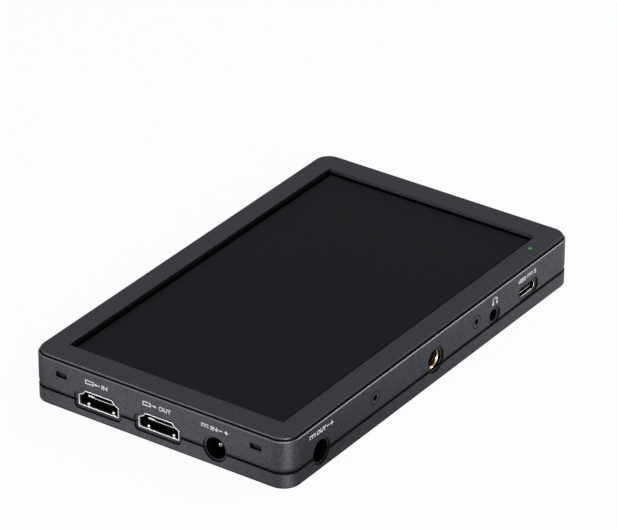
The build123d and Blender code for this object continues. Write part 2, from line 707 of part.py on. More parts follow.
def video_tongue(y):
    """Plastic tongue with its back block."""
    tongue = Pos(y, VIDEO_Z + TONGUE_LIFT) * Rectangle(2 * TONGUE_HALF, TONGUE_H)
    body = bore(LEFT, tongue, TONGUE_DEPTHS[0], TONGUE_DEPTHS[1])
    back = video_outline(y, -VIDEO_SHEET)
    return body + bore(LEFT, back, TONGUE_DEPTHS[1], RECESS + VIDEO_LENGTH)


def video_contacts(y):
    """Nineteen contacts, ten on one face of the tongue and nine on the other."""
    strips = []
    for count, side in ((10, 1), (9, -1)):
        for index in range(count):
            offset_y = y + index - (count - 1) / 2
            height = VIDEO_Z + TONGUE_LIFT + side * (TONGUE_H + CONTACT_T) / 2
            strip = Pos(offset_y, height) * Rectangle(CONTACT_W, CONTACT_T)
            strips.append(bore(LEFT, strip, CONTACT_START, TONGUE_DEPTHS[1]))
    return strips


def power_body(side, u, z):
    """Barrel jack body: nose, block and blind socket."""
    centre = Pos(u, z)
    nose = bore(side, centre * Circle(POWER_NOSE_R), RECESS * 2, WALL + GAP)
    middle = (POWER_BODY_BOTTOM + BOARD_BOTTOM) / 2
    height = BOARD_BOTTOM - POWER_BODY_BOTTOM
    shape = Pos(u, middle) * Rectangle(2 * POWER_BODY_HALF, height)
    end = WALL + GAP + POWER_BODY_LENGTH
    body = nose + bore(side, shape, LIP_IN + GAP, end)
    neck = bore(side, centre * Circle(POWER_NOSE_R), WALL + GAP - EPS, LIP_IN + GAP)
    body += neck - bore(side, centre * Circle(POWER_MOUTH_R), RECESS * 2, LIP_IN)
    return body - bore(side, centre * Circle(POWER_BORE_R), RECESS * 2, end - WALL)


def power_pin(side, u, z):
    """Centre pin of a barrel jack with a rounded tip."""
    end = WALL + GAP + POWER_BODY_LENGTH - WALL
    start = POWER_PIN_START
    pin = bore(side, Pos(u, z) * Circle(POWER_PIN_R), start, end)
    rim = pin.edges().filter_by(GeomType.CIRCLE).sort_by(Axis((0, 0, 0), side.z_dir))[0]
    return fillet(rim, POWER_PIN_R / 2)


def phones_jack():
    """Headphone socket: block with a nose and a long bore."""
    centre = Pos(-PHONES_X, PHONES_Z)
    nose = bore(NEAR, centre * Circle(PHONES_NOSE_R), RECESS + NOTCH_GAP, LIP_OUT)
    low = PHONES_Z - (BOARD_TOP - PHONES_Z) - NOTCH_GAP / 2
    high = BOARD_TOP - GAP / 2
    shape = Pos(-PHONES_X, (low + high) / 2) * Rectangle(2 * PHONES_HALF, high - low)
    block_part = bore(NEAR, shape, LIP_OUT, PHONES_END)
    return nose + block_part - bore(NEAR, centre * Circle(PHONES_BORE_R), RECESS, PHONES_END - PHONES_BACK)


def data_shell():
    tube = data_outline(0) - data_outline(-DATA_SHEET)
    return bore(NEAR, tube, RECESS, RECESS + DATA_LENGTH)


def data_tongue():
    """Thin tongue and back block of the data receptacle."""
    tongue = Pos(-DATA_X, DATA_Z) * Rectangle(DATA_TONGUE_W, DATA_TONGUE_H)
    back = RECESS + DATA_LENGTH - DATA_BACK
    body = bore(NEAR, tongue, DATA_TONGUE_START, back)
    return body + bore(NEAR, data_outline(-DATA_SHEET), back, RECESS + DATA_LENGTH)


def data_contacts():
    """Twelve contacts on each face of the tongue."""
    strips = []
    for side in (-1, 1):
        for index in range(DATA_COUNT):
            u = -DATA_X + (index - (DATA_COUNT - 1) / 2) * DATA_PITCH
            z = DATA_Z + side * (DATA_TONGUE_H + GAP) / 2
            strip = Pos(u, z) * Rectangle(DATA_PITCH / 2, GAP)
            strips.append(bore(NEAR, strip, DATA_TONGUE_START + NOTCH_GAP, DATA_LENGTH - DATA_BACK))
    return strips


# ---- lamp and button -----------------------------------------------------------
def lamp_pipe():
    """Clear light pipe from the board lamp to the bezel face."""
    return rod(LAMP_X, LAMP_Y, LAMP_R, BOARD_TOP + LAMP_R + GAP, THICK)


def lamp_chip():
    return Pos(LAMP_X, LAMP_Y, BOARD_TOP + LAMP_R / 2) * Box(2 * LAMP_R, LAMP_R, LAMP_R)


def power_button():
    """Stadium cap with a collar behind the wall and an inner end for the stem."""
    cap = bore(FAR, button_outline(0), BUTTON_RECESS, BUTTON_COLLAR[1])
    front = WIDTH / 2 - BUTTON_RECESS
    cap = chamfer(cap.edges().filter_by_position(Axis.Y, front - EPS, front + EPS), BUTTON_CUT)
    cap += bore(FAR, button_outline(BUTTON_COLLAR_STEP), BUTTON_COLLAR[0], BUTTON_COLLAR[1])
    cap -= bore(FAR, button_outline(-BUTTON_DISH), BUTTON_RECESS, BUTTON_RECESS + GAP)
    heel = Pos(BUTTON_X, BUTTON_Z) * Circle(BUTTON_H / 2)
    return cap + bore(FAR, heel, BUTTON_COLLAR[1], BUTTON_END)


def switch_stem():
    """Plunger of the switch, resting on the cap's inner end."""
    centre = Pos(BUTTON_X, BUTTON_Z)
    return bore(FAR, centre * Circle(STEM_R), BUTTON_END, SWITCH_FACE + STEM_IN)


def switch_body():
    """Side push switch on the board's underside."""
    middle = (SWITCH_BOTTOM + BOARD_BOTTOM) / 2
    shape = Pos(BUTTON_X, middle) * Rectangle(2 * SWITCH_HALF, BOARD_BOTTOM - SWITCH_BOTTOM)
    body = bore(FAR, shape, SWITCH_FACE, SWITCH_FACE + SWITCH_DEPTH)
    end = SWITCH_FACE + STEM_IN + BUTTON_TRAVEL + NOTCH_GAP
    return body - bore(FAR, Pos(BUTTON_X, BUTTON_Z) * Circle(STEM_HOLE_R), SWITCH_FACE, end)


NODES = {
    "front_bezel": front_bezel,
    "bezel_gasket": bezel_gasket,
    "front_housing": front_housing,
    "seam_gasket": seam_gasket,
    "rear_cover": rear_cover,
    "cover_screws": cover_screws,
    "bezel_screws": bezel_screws,
    "board_screws": board_screws,
    "plate_inserts": plate_inserts,
    "tripod_insert": tripod_insert,
    "screen_film": screen_film,
    "light_seal": light_seal,
    "lcd_panel": lcd_panel,
    "diffuser_films": diffuser_films,
    "light_guide": light_guide,
    "backlight_strip": backlight_strip,
    "panel_frame": panel_frame,
    "panel_ribbon": panel_ribbon,
    "ribbon_socket": ribbon_socket,
    "main_board": main_board,
    "processor": processor,
    "thermal_pad": thermal_pad,
    "heat_sink": heat_sink,
    "sink_standoffs": sink_standoffs,
    "sink_screws": sink_screws,
    "shield_can": shield_can,
    "board_chips": board_chips,
    "power_coils": power_coils,
    "capacitors": capacitors,
    "dust_mesh": dust_mesh,
    "video_in_shell": lambda: video_shell(VIDEO_IN_Y),
    "video_in_tongue": lambda: video_tongue(VIDEO_IN_Y),
    "video_in_contacts": lambda: video_contacts(VIDEO_IN_Y),
    "video_out_shell": lambda: video_shell(VIDEO_OUT_Y),
    "video_out_tongue": lambda: video_tongue(VIDEO_OUT_Y),
    "video_out_contacts": lambda: video_contacts(VIDEO_OUT_Y),
    "power_in_jack": lambda: power_body(LEFT, POWER_IN_Y, POWER_IN_Z),
    "power_in_pin": lambda: power_pin(LEFT, POWER_IN_Y, POWER_IN_Z),
    "power_out_jack": lambda: power_body(NEAR, -POWER_OUT_X, POWER_OUT_Z),
    "power_out_pin": lambda: power_pin(NEAR, -POWER_OUT_X, POWER_OUT_Z),
    "phones_jack": phones_jack,
    "data_shell": data_shell,
    "data_tongue": data_tongue,
    "data_contacts": data_contacts,
    "lamp_pipe": lamp_pipe,
    "lamp_chip": lamp_chip,
    "power_button": power_button,
    "switch_stem": switch_stem,
    "switch_body": switch_body,
}

os.makedirs("parts", exist_ok=True)
for name, make in NODES.items():
    made = make()
    solids = list(made) if isinstance(made, list) else made.solids()
    shape = solids[0] if len(solids) == 1 else Compound(children=solids)
    export_step(shape, f"parts/{name}.step")
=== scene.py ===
# %% [markdown]
# # A camera field monitor, dressed in Blender
#
# The monitor is a flat machined metal case with a recessed screen, sockets on two sides and
# a tripod thread. Its solids come from a CAD model in metres, already in their places. This
# lesson gives every solid a finish, and makes again the small pieces whose looks need more
# than a solid: socket shells, threads, screws, mesh and printed marks.

# %% Load the frame
import json
import math

import bmesh
import bpy
from mathutils import Matrix, Vector


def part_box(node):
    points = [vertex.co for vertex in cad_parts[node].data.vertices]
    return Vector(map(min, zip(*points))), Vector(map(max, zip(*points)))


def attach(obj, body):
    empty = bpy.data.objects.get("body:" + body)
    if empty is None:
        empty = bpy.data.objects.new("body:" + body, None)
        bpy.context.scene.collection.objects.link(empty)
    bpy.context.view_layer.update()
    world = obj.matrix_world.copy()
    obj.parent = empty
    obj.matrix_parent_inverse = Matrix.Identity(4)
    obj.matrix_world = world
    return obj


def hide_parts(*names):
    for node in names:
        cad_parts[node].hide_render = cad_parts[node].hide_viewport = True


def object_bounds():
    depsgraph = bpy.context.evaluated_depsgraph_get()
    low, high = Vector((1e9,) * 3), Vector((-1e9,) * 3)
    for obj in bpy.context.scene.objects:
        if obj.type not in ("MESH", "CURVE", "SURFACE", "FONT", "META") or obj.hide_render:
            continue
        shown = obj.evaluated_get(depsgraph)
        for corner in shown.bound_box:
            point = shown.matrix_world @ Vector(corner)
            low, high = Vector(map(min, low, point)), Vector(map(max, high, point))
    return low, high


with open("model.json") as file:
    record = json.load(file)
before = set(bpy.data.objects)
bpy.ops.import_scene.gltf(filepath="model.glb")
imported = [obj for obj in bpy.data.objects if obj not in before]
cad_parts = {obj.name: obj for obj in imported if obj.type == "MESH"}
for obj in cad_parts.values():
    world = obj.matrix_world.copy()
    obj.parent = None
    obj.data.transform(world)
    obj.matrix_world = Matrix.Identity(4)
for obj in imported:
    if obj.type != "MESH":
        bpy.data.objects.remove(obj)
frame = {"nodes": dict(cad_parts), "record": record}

CAD_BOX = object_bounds()
MM = 0.001
print("CAD box", [round(side / MM, 2) for side in CAD_BOX[1] - CAD_BOX[0]], "mm")

# %% [markdown]
# ## Shader sums written as Python
#
# A finish is mostly arithmetic on noise and on places. Wiring Math nodes by hand hides the
# sum, so a small class wraps a socket and turns + - * and comparisons into Math nodes.

# %% Wires
class Wire:
    """A number or vector that comes out of a node."""

    def __init__(self, finish, socket):
        self.finish = finish
        self.socket = socket

    def math(self, operation, *others):
        values = dict(enumerate((self, *others)))
        return self.finish.node("ShaderNodeMath", {"operation": operation}, values)

    def __add__(self, other):
        return self.math("ADD", other)

    def __sub__(self, other):
        return self.math("SUBTRACT", other)

    def __rsub__(self, other):
        return self.finish.node("ShaderNodeMath", {"operation": "SUBTRACT"}, {0: other, 1: self})

    def __mul__(self, other):
        return self.math("MULTIPLY", other)

    def __gt__(self, other):
        return self.math("GREATER_THAN", other)

    def __lt__(self, other):
        return self.math("LESS_THAN", other)

    def __abs__(self):
        return self.math("ABSOLUTE")

    __radd__ = __add__
    __rmul__ = __mul__


# %% [markdown]
# ## Any other node
#
# Materials and Geometry Nodes are both node trees, so one class adds nodes to either. Its one
# method takes the kind of node, then its settings, which have to be set first because they
# can change its sockets, and then a number, a colour or a wire for each socket.

# %% Nodes
class Nodes:
    """A node tree, and the calls that add any node and join its sockets."""

    def __init__(self, tree):
        self.tree = tree

    def put(self, socket, value):
        if isinstance(value, Wire):
            self.tree.links.new(value.socket, socket)
        elif isinstance(value, tuple) and socket.type == "RGBA":
            socket.default_value = (*value, 1)
        else:
            socket.default_value = value

    def node(self, kind, settings=None, sockets=None, out=0):
        made = self.tree.nodes.new(kind)
        for key, value in (settings or {}).items():
            setattr(made, key, value)
        for key, value in (sockets or {}).items():
            self.put(made.inputs[key], value)
        return Wire(self, made.outputs[out])

    def vector(self, **parts):
        """Vector from its named parts; a part that isn't named is 0."""
        return self.node("ShaderNodeCombineXYZ", {}, parts)


# %% [markdown]
# ## Finishes
#
# A finish is a Principled shader with a few calls for what most of them need: the place of a
# point, noise, a blend of two tones, bumps. Noise is read on the piece's own coordinates, so
# its spots keep their size in metres whatever the piece is.

# %% Finishes
NOISE_SPOT = 0.6     # width of one spot of the noise at scale 1


class Finish(Nodes):
    """One material: a Principled shader and the few calls that the finishes below need."""

    def __init__(self, name):
        self.material = bpy.data.materials.new(name)
        self.material.use_nodes = True
        super().__init__(self.material.node_tree)
        self.shader = self.tree.nodes["Principled BSDF"]

    def surface(self, **sockets):
        """Sets the shader's sockets; base_color stands for Base Color, and so on."""
        for key, value in sockets.items():
            self.put(self.shader.inputs[key.replace("_", " ").title()], value)
        return self.material

    def place(self):
        """Where a point of the piece is, in metres."""
        return self.node("ShaderNodeTexCoord", out="Object")

    def axis(self, letter):
        """One part of that place."""
        return self.node("ShaderNodeSeparateXYZ", {}, {0: self.place()}, out=letter)

    def grain(self, size, detail=2.0):
        """Noise from 0 to 1 whose spots are about one size across."""
        sockets = {"Vector": self.place(), "Scale": NOISE_SPOT / size, "Detail": detail}
        return self.node("ShaderNodeTexNoise", {}, sockets, out="Fac")

    def blend(self, share, first, second):
        """Colour that goes from first to second."""
        settings = {"data_type": "RGBA", "clamp_factor": True}
        return self.node("ShaderNodeMix", settings, {"Factor": share, 6: first, 7: second}, out=2)

    def ramp(self, value, low, high):
        """Stretches the part of a value between low and high to 0 to 1."""
        sockets = {"Value": value, "From Min": low, "From Max": high}
        return self.node("ShaderNodeMapRange", {"clamp": True}, sockets)

    def bumps(self, height, depth):
        """Surface normal that follows a height, depth metres from its lowest to highest."""
        return self.node("ShaderNodeBump", {}, {"Height": height, "Distance": depth}, out="Normal")

    def scaled(self, colour, gain):
        """Colour times a number."""
        return self.node("ShaderNodeVectorMath", {"operation": "SCALE"}, {0: colour, "Scale": gain})


# %% [markdown]
# ## Where a point of the case lies
#
# The sides of the case aren't one even black: shade is painted on them. An image texture could
# paint it, but sums on the place of a point need no file and stay sharp. The first sum is how
# deep a point lies inside the outline of the case: the outside is 0, and the floor of a recess
# has its depth. The second is how squarely a surface faces away from its side: the wall of a
# recess gives 0.

# %% Depth and facing
CORNER = 5.75 * MM
CASE_HALVES = {"X": CAD_BOX[1].x, "Y": CAD_BOX[1].y}


def depth_inside(finish):
    """How far a point lies inside the outline of the case, whose corners are round."""
    past = []
    for letter, half in CASE_HALVES.items():
        over = (abs(finish.axis(letter)) - (half - CORNER)).math("MAXIMUM", 0.0)
        past.append(over * over)
    return CORNER - (past[0] + past[1]).math("SQRT")


def normal_axis(finish, letter):
    """One part of the surface normal, in the piece's own frame."""
    normal = finish.node("ShaderNodeTexCoord", out="Normal")
    return finish.node("ShaderNodeSeparateXYZ", {}, {0: normal}, out=letter)


def facing_out(finish):
    """1 where a surface faces away from the nearest side of the case, 0 on a wall."""
    shares = []
    for letter, half in CASE_HALVES.items():
        near = abs(finish.axis(letter)) > half - CORNER
        shares.append(abs(normal_axis(finish, letter)) * near)
    return (shares[0] * shares[0] + shares[1] * shares[1]).math("SQRT")


print("case halves", [round(half / MM, 2) for half in CASE_HALVES.values()], "mm")

# %% [markdown]
# ## Painted shade and light on the case
#
# Shade is painted into the colour of the case. The small recesses round the sockets get it on
# their floors, which stay dark, and on their walls, which are nearly black. The sides also get
# painted shade towards the seam, where the housing draws in, and towards the foot. Each such
# place is a share from 0 to 1 that loses its own part of the colour. The front frame gets light
# and shade painted by the way it faces: darker where it faces a long side, lighter at an end.

# %% Gains of the case metal
# Heights count from the back of the case and depths from its outline. A run is where a share
# grows from 0 to 1, and a loss is the part of the colour that a whole share takes.
FOOT = 0.03 * MM
FOOT_RUN = (0.3 * MM, 0.8 * MM)
CUT_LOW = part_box("front_housing")[1].z - 0.21 * MM
SIDE_END = 0.9 * CORNER
SEAM_LOW, SEAM_HALF, SEAM_HIGH = 4.72 * MM, 5.0 * MM, 5.40 * MM
FLOOR_STEPS = ((0.15, 0.30 * MM, 0.45 * MM), (0.40, 0.65 * MM, 0.9 * MM))
WALL_TURN, WALL_START = (0.60, 1.0), 0.03 * MM
TAPER_RUN, TAPER_END, TAPER_TOP = (0.07 * MM, 0.32 * MM), 0.42 * MM, 7.2 * MM
# Each loss is painted shade: in the recesses, on their walls, on the taper, at the seam and foot.
LOSSES = {"floor": 1, "wall": 0.97, "taper": 0.82, "seam": 0.98, "foot": 0.65}
LONG_SIDE_SHADE, END_HIGHLIGHT = 0.76, 0.28


def side_shade_gain(finish):
    """Share of the colour that is left on the sides of the case, after the painted shade."""
    depth, height = depth_inside(finish), finish.axis("Z")
    side = (height > FOOT) * (height < CUT_LOW) * (depth < SIDE_END)
    shallow, deep = (loss * finish.ramp(depth, low, high) for loss, low, high in FLOOR_STEPS)
    taper = finish.ramp(depth, *TAPER_RUN) * (depth < TAPER_END)
    end_wall = (abs(normal_axis(finish, "X")) > 0.5) * (height < SEAM_HALF)
    shares = {
        "floor": shallow + deep,
        "wall": (1 - finish.ramp(facing_out(finish), *WALL_TURN)) * (depth > WALL_START),
        "taper": taper * (height > SEAM_HIGH) * (height < TAPER_TOP),
        "seam": (height > SEAM_LOW) * (height < SEAM_HIGH) * (1 - end_wall),
        "foot": 1 - finish.ramp(height, *FOOT_RUN),
    }
    gain = 1
    for place, share in shares.items():
        gain = gain * (1 - LOSSES[place] * share * side)
    return gain


def front_facing_light(finish):
    """Painted light and shade on the front frame, by the way that its surface faces."""
    across, along = normal_axis(finish, "Y"), normal_axis(finish, "X")
    return 1 - LONG_SIDE_SHADE * across * across + END_HIGHLIGHT * along * along


print("bright cut starts", round(CUT_LOW / MM, 2), "mm up")

# %% [markdown]
# ## The case metal
#
# The three case layers are aluminium, blasted with fine beads and anodised black. Blasting
# leaves grains of about a third of a millimetre and a soft mottle over a few millimetres. The
# grains mix two tones, move the gloss a little and are the fine bumps of the surface. All of
# it is noise on the piece's own coordinates, so it stays on the metal in any view.
#
# The front frame has its own tones on the flat front and the tones of the sides where it turns
# down, as light and shade painted by facing. The top edge of the housing is cut bright after the
# blasting; its pale band is partly a painted highlight, and at the ends of the case it reaches
# a little lower.

# %% Anodised metal
SIDE_TONES = ((0.061, 0.063, 0.072), (0.118, 0.121, 0.136))
FRONT_TONES = ((0.055, 0.059, 0.072), (0.119, 0.124, 0.148))
# Pale tones of the bright cut on the top edge; they are partly a painted highlight.
CUT_AND_HIGHLIGHT_TONES = ((0.194, 0.197, 0.212), (0.248, 0.252, 0.271))
BEAD_GRAIN, BEAD_DEPTH = 0.30 * MM, 0.013 * MM
MOTTLE, MOTTLE_SHARE = 2.5 * MM, 0.07
TONE_RANGE = (0.32, 0.68)
FLAT_RANGE = (0.80, 0.98)
HIGHLIGHT_DROP = 0.48 * MM


def case_metal(name, tones, gain=None, cut=False, edges=None):
    """Blasted metal; gain is a sum that paints shade and light on some of its places."""
    finish = Finish(name)
    grain, mottle = finish.grain(BEAD_GRAIN), finish.grain(MOTTLE, 3.0)
    share = finish.ramp(grain * (1 - MOTTLE_SHARE) + mottle * MOTTLE_SHARE, *TONE_RANGE)
    colour = finish.blend(share, *tones)
    if edges:
        # The flat front and its turned-down edges get different tones: light and shade painted by
        # facing.
        flat = finish.ramp(normal_axis(finish, "Z"), *FLAT_RANGE)
        colour = finish.blend(flat, finish.blend(share, *edges), colour)
    if gain:
        colour = finish.scaled(colour, gain(finish))
    if cut:
        # The pale band is partly a painted highlight, and it reaches lower where the edge faces an
        # end.
        slope = normal_axis(finish, "X") * normal_axis(finish, "Z")
        low = CUT_LOW - HIGHLIGHT_DROP * slope * slope
        colour = finish.blend(finish.axis("Z") > low, colour, finish.blend(share, *CUT_AND_HIGHLIGHT_TONES))
    rough, normal = 0.42 + 0.08 * grain, finish.bumps(grain, BEAD_DEPTH)
    return finish.surface(base_color=colour, roughness=rough, metallic=0.92, normal=normal)


OWN_METALS = {
    "front_housing": case_metal("housing metal", SIDE_TONES, side_shade_gain, cut=True),
    "rear_cover": case_metal("cover metal", SIDE_TONES, side_shade_gain),
    "front_bezel": case_metal("ground front metal", FRONT_TONES, front_facing_light, edges=SIDE_TONES),
}
print("case metals for", list(OWN_METALS))

# %% [markdown]
# ## Plain materials
#
# The other finishes are simpler: two close tones mixed by fine noise, which also moves the
# roughness and the bumps, so that no surface is one flat colour. One call makes plastics,
# rubber, glass and films, and another the bare metals. Some blacks have less of the shader's
# specular reflection and nearly no colour: the rubber and the border film, whose black is partly
# painted shade in the grooves and at the foot of the screen's opening.

# %% Plastics and metals
PLASTIC_SWING, METAL_SWING = 0.06, 0.05
METAL_GRAIN = 0.2


def speckled(name, tones, size, detail, roughness, swing, depth, **more):
    """Two tones mixed by noise; size and depth are in millimetres."""
    finish = Finish(name)
    grain = finish.grain(size * MM, detail)
    rough, normal = roughness - swing + 2 * swing * grain, finish.bumps(grain, depth * MM)
    colour = finish.blend(grain, *tones)
    return finish.surface(base_color=colour, roughness=rough, normal=normal, **more)


def plastic(name, dark, pale, size, roughness=0.5, depth=0.01):
    return speckled(name, (dark, pale), size, 2.0, roughness, PLASTIC_SWING, depth)


def metal(name, dark, pale, roughness, depth=0.002):
    tones = (dark, pale)
    return speckled(name, tones, METAL_GRAIN, 3.0, roughness, METAL_SWING, depth, metallic=1.0)


def dull(name, dark, pale, roughness=0.8, gloss=0.12):
    """Black that gives almost no reflection."""
    material = plastic(name, dark, pale, 0.25, roughness)
    shader = material.node_tree.nodes["Principled BSDF"]
    shader.inputs["Specular IOR Level"].default_value = gloss
    return material


# %% [markdown]
# ## Screen film and lamp
#
# The screen has a matte film that breaks up reflections with very fine bumps. Its dark blue
# drifts slowly from one tone to the next. The status lamp gives its own light, so its green
# is in the emission, and the base colour is only what shows when the lamp is seen unlit.

# %% Screen film and lamp
SCREEN_GLOSS = 0.121
SCREEN_TONES = ((0.0029, 0.0040, 0.0066), (0.0039, 0.0050, 0.0076))
LAMP_TONES = ((0.004, 0.30, 0.006), (0.005, 0.38, 0.008))


def screen_film():
    finish = Finish("screen film")
    grain, cloud = finish.grain(0.12 * MM, 1.0), finish.grain(25 * MM, 1.0)
    colour, normal = finish.blend(cloud, *SCREEN_TONES), finish.bumps(grain, 0.002 * MM)
    finish.put(finish.shader.inputs["Specular IOR Level"], SCREEN_GLOSS)
    return finish.surface(base_color=colour, roughness=0.38 + 0.06 * grain, normal=normal)


def lamp_green():
    finish = Finish("lit lamp")
    glow = finish.blend(finish.grain(0.2 * MM), *LAMP_TONES)
    finish.put(finish.shader.inputs["Emission Strength"], 1.0)
    return finish.surface(base_color=(0.004, 0.08, 0.006), roughness=0.35, emission_color=glow)


# %% [markdown]
# ## A finish for every CAD node
#
# The CAD record names a material slot for each of its nodes. A table from slots to finishes
# dresses all of them in one loop, and the three case layers get their own metals afterwards.
# Each entry has a name, a dark tone and a pale tone, and then a plastic has its grain, its
# roughness and the depth of its bumps, and a metal its roughness.

# %% Table of finishes
MATERIALS = {
    "anodised_black": case_metal("blasted black metal", SIDE_TONES),
    # The rubber's nearly zero colour is partly painted shade, in the grooves that it lines.
    "black_rubber": dull("black rubber", (0.0004,) * 3, (0.0010,) * 3),
    "black_steel": metal("black oxide steel", (0.02, 0.02, 0.022), (0.05, 0.05, 0.052), 0.35),
    "plain_steel": metal("zinc plated steel", (0.45, 0.45, 0.46), (0.62, 0.62, 0.62), 0.35),
    "tinned_steel": metal("tinned steel", (0.62, 0.62, 0.61), (0.80, 0.80, 0.79), 0.18),
    "brass": metal("turned brass", (0.78, 0.52, 0.16), (0.95, 0.68, 0.28), 0.22),
    "plain_aluminium": metal("bare aluminium", (0.58, 0.58, 0.59), (0.74, 0.74, 0.75), 0.32),
    "gold_contacts": metal("gold plate", (0.80, 0.52, 0.18), (0.95, 0.68, 0.30), 0.2),
    # Painted shade: the nickel is darker than bare plate, for pins that lie deep in their bores.
    "nickel_pin": metal("nickel plate", (0.30, 0.29, 0.28), (0.42, 0.41, 0.40), 0.16),
    "screen_matte": screen_film(),
    "lamp_green": lamp_green(),
    # The border film's nearly zero colour is partly painted shade, at the foot of the opening.
    "black_film": dull("black border film", (0.0002,) * 3, (0.0004,) * 3, 0.8, 0.02),
}
PLASTICS = {
    "panel_glass": ("panel glass", (0.010, 0.010, 0.012), (0.016, 0.016, 0.018), 5.0, 0.10, 0.001),
    "white_film": ("diffuser film", (0.74, 0.74, 0.75), (0.84, 0.84, 0.85), 0.4),
    "clear_plastic": ("clear guide", (0.66, 0.70, 0.72), (0.76, 0.80, 0.82), 3.0, 0.15, 0.001),
    "strip_white": ("white carrier", (0.70, 0.70, 0.66), (0.82, 0.82, 0.78), 0.5),
    "amber_film": ("amber ribbon", (0.32, 0.14, 0.03), (0.46, 0.22, 0.05), 1.2, 0.3),
    "black_plastic": ("moulded black", (0.004, 0.004, 0.0045), (0.010, 0.010, 0.011), 0.25, 0.38),
    "board_green": ("solder mask", (0.006, 0.055, 0.03), (0.012, 0.10, 0.055), 0.8, 0.25),
    "chip_black": ("chip mould", (0.012, 0.012, 0.013), (0.026, 0.026, 0.027), 0.2, 0.6),
    "pad_grey": ("thermal pad", (0.26, 0.31, 0.38), (0.34, 0.41, 0.48), 0.4, 0.8),
    "ferrite_grey": ("ferrite", (0.06, 0.06, 0.065), (0.11, 0.11, 0.115), 0.3, 0.55),
    "black_mesh": ("black mesh", (0.004,) * 3, (0.010,) * 3, 0.2, 0.6),
}
for slot, values in PLASTICS.items():
    MATERIALS[slot] = plastic(*values)
for entry in frame["record"]["subparts"]:
    node = frame["nodes"][entry["node"]]
    node.data.materials.clear()
    node.data.materials.append(MATERIALS[entry["material_slot"]])
for name, material in OWN_METALS.items():
    frame["nodes"][name].data.materials[0] = material

# %% [markdown]
# ## Sides as drawing boards
#
# Every socket is drawn flat, as a maker would draw it, with x to the right, y up and z out
# of the side, in millimetres. A matrix then carries the drawing to its side of the case, and
# the mesh takes that place, so each finished object stays at the origin.


# %% Drawing boards
def board(corner, right, up):
    """Matrix from a flat drawing in millimetres to a side of the case in metres."""
    right, up = Vector(right), Vector(up)
    out = right.cross(up)
    turn = Matrix((right, up, out)).transposed().to_4x4()
    return Matrix.Translation(corner) @ turn @ Matrix.Scale(MM, 4)


LOW, HIGH = CAD_BOX
LEFT_SIDE = board((LOW.x, 0, 0), (0, -1, 0), (0, 0, 1))
NEAR_SIDE = board((0, LOW.y, 0), (1, 0, 0), (0, 0, 1))
FAR_SIDE = board((0, HIGH.y, 0), (-1, 0, 0), (0, 0, 1))
BACK_SIDE = board((0, 0, LOW.z), (-1, 0, 0), (0, 1, 0))
FRONT_SIDE = board((0, 0, HIGH.z), (1, 0, 0), (0, 1, 0))
print("boards stand at", [round(side / MM, 2) for side in (*LOW, *HIGH)], "mm")

# %% [markdown]
# ## Boxes of the solids
#
# A new piece takes its size from the solid that it stands for, so both always agree. Some CAD
# nodes hold many equal solids, such as a row of screws. Their boxes are found by walking from
# vertex to joined vertex until a solid is used up.

# %% Boxes on a drawing board
class Drawn:
    """Box of a CAD node, or of one solid in it, as it lies on a drawing board."""

    def __init__(self, side, low, high):
        ends = [side.inverted() @ low, side.inverted() @ high]
        self.low = Vector([min(pair) for pair in zip(*ends)])
        self.high = Vector([max(pair) for pair in zip(*ends)])
        self.middle = (self.low + self.high) / 2
        self.half = (self.high - self.low) / 2


def drawn(node, side):
    return Drawn(side, *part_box(node))


def solids(node, side):
    """The boxes of a node's separate solids, found on a merged copy of its mesh."""
    work = bmesh.new()
    work.from_mesh(frame["nodes"][node].data)
    bmesh.ops.remove_doubles(work, verts=work.verts, dist=0.001 * MM)
    left, boxes = set(work.verts), []
    while left:
        group, edge = set(), [left.pop()]
        while edge:
            vertex = edge.pop()
            group.add(vertex)
            near = {link.other_vert(vertex) for link in vertex.link_edges} & left
            left -= near
            edge.extend(near)
        low = Vector([min(v.co[i] for v in group) for i in range(3)])
        high = Vector([max(v.co[i] for v in group) for i in range(3)])
        boxes.append(Drawn(side, low, high))
    work.free()
    return sorted(boxes, key=lambda box: tuple(box.middle))


# %% [markdown]
# ## From drawing to piece
#
# A drawing is a set of loose faces. Its doubles are merged and its faces turned outwards, and
# it is carried to its side of the case. Then it gets smooth shading that stops at sharp
# edges, a finish, the body that it rides on and the CAD nodes that it stands for.

# %% Finished pieces
MERGE = 0.0005       # millimetres between points that are one
SLIVER = 0.0002      # millimetres of an edge that is left out


def mesh_of(name, work, sliver=0.0):
    """Mesh of a drawing, with doubles merged and faces turned outwards."""
    bmesh.ops.remove_doubles(work, verts=work.verts, dist=MERGE)
    if sliver:
        bmesh.ops.dissolve_degenerate(work, edges=work.edges, dist=sliver)
    bmesh.ops.recalc_face_normals(work, faces=work.faces)
    mesh = bpy.data.meshes.new(name)
    work.to_mesh(mesh)
    work.free()
    return mesh


def finished(name, work, place, slot, **options):
    """Turns a drawing into a piece of the monitor: placed, coloured and riding."""
    mesh = mesh_of(name, work, SLIVER)
    mesh.transform(place)
    return dressed(name, mesh, slot, **options)


def dressed(name, mesh, slot, body="case", replaces=(), crease=30, material=None):
    """Piece made of a placed mesh; crease is the sharpest bend that is shaded smooth."""
    mesh.name = name
    mesh.shade_smooth()
    mesh.set_sharp_from_angle(angle=math.radians(crease))
    mesh.materials.clear()
    mesh.materials.append(material or MATERIALS[slot])
    piece = bpy.data.objects.new(name, mesh)
    bpy.context.collection.objects.link(piece)
    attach(piece, body)
    if replaces:
        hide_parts(*replaces)
    print(name, len(mesh.polygons), "faces")
    return piece


# %% [markdown]
# ## Turned pieces
#
# Pins, jack noses, inserts and screws are turned on a lathe, so each is a profile of radius
# and height that goes once round. A rounded corner is a quarter arc in the profile.


# %% Lathe
ROUND_STEPS = 48
CORNER_STEPS = 4


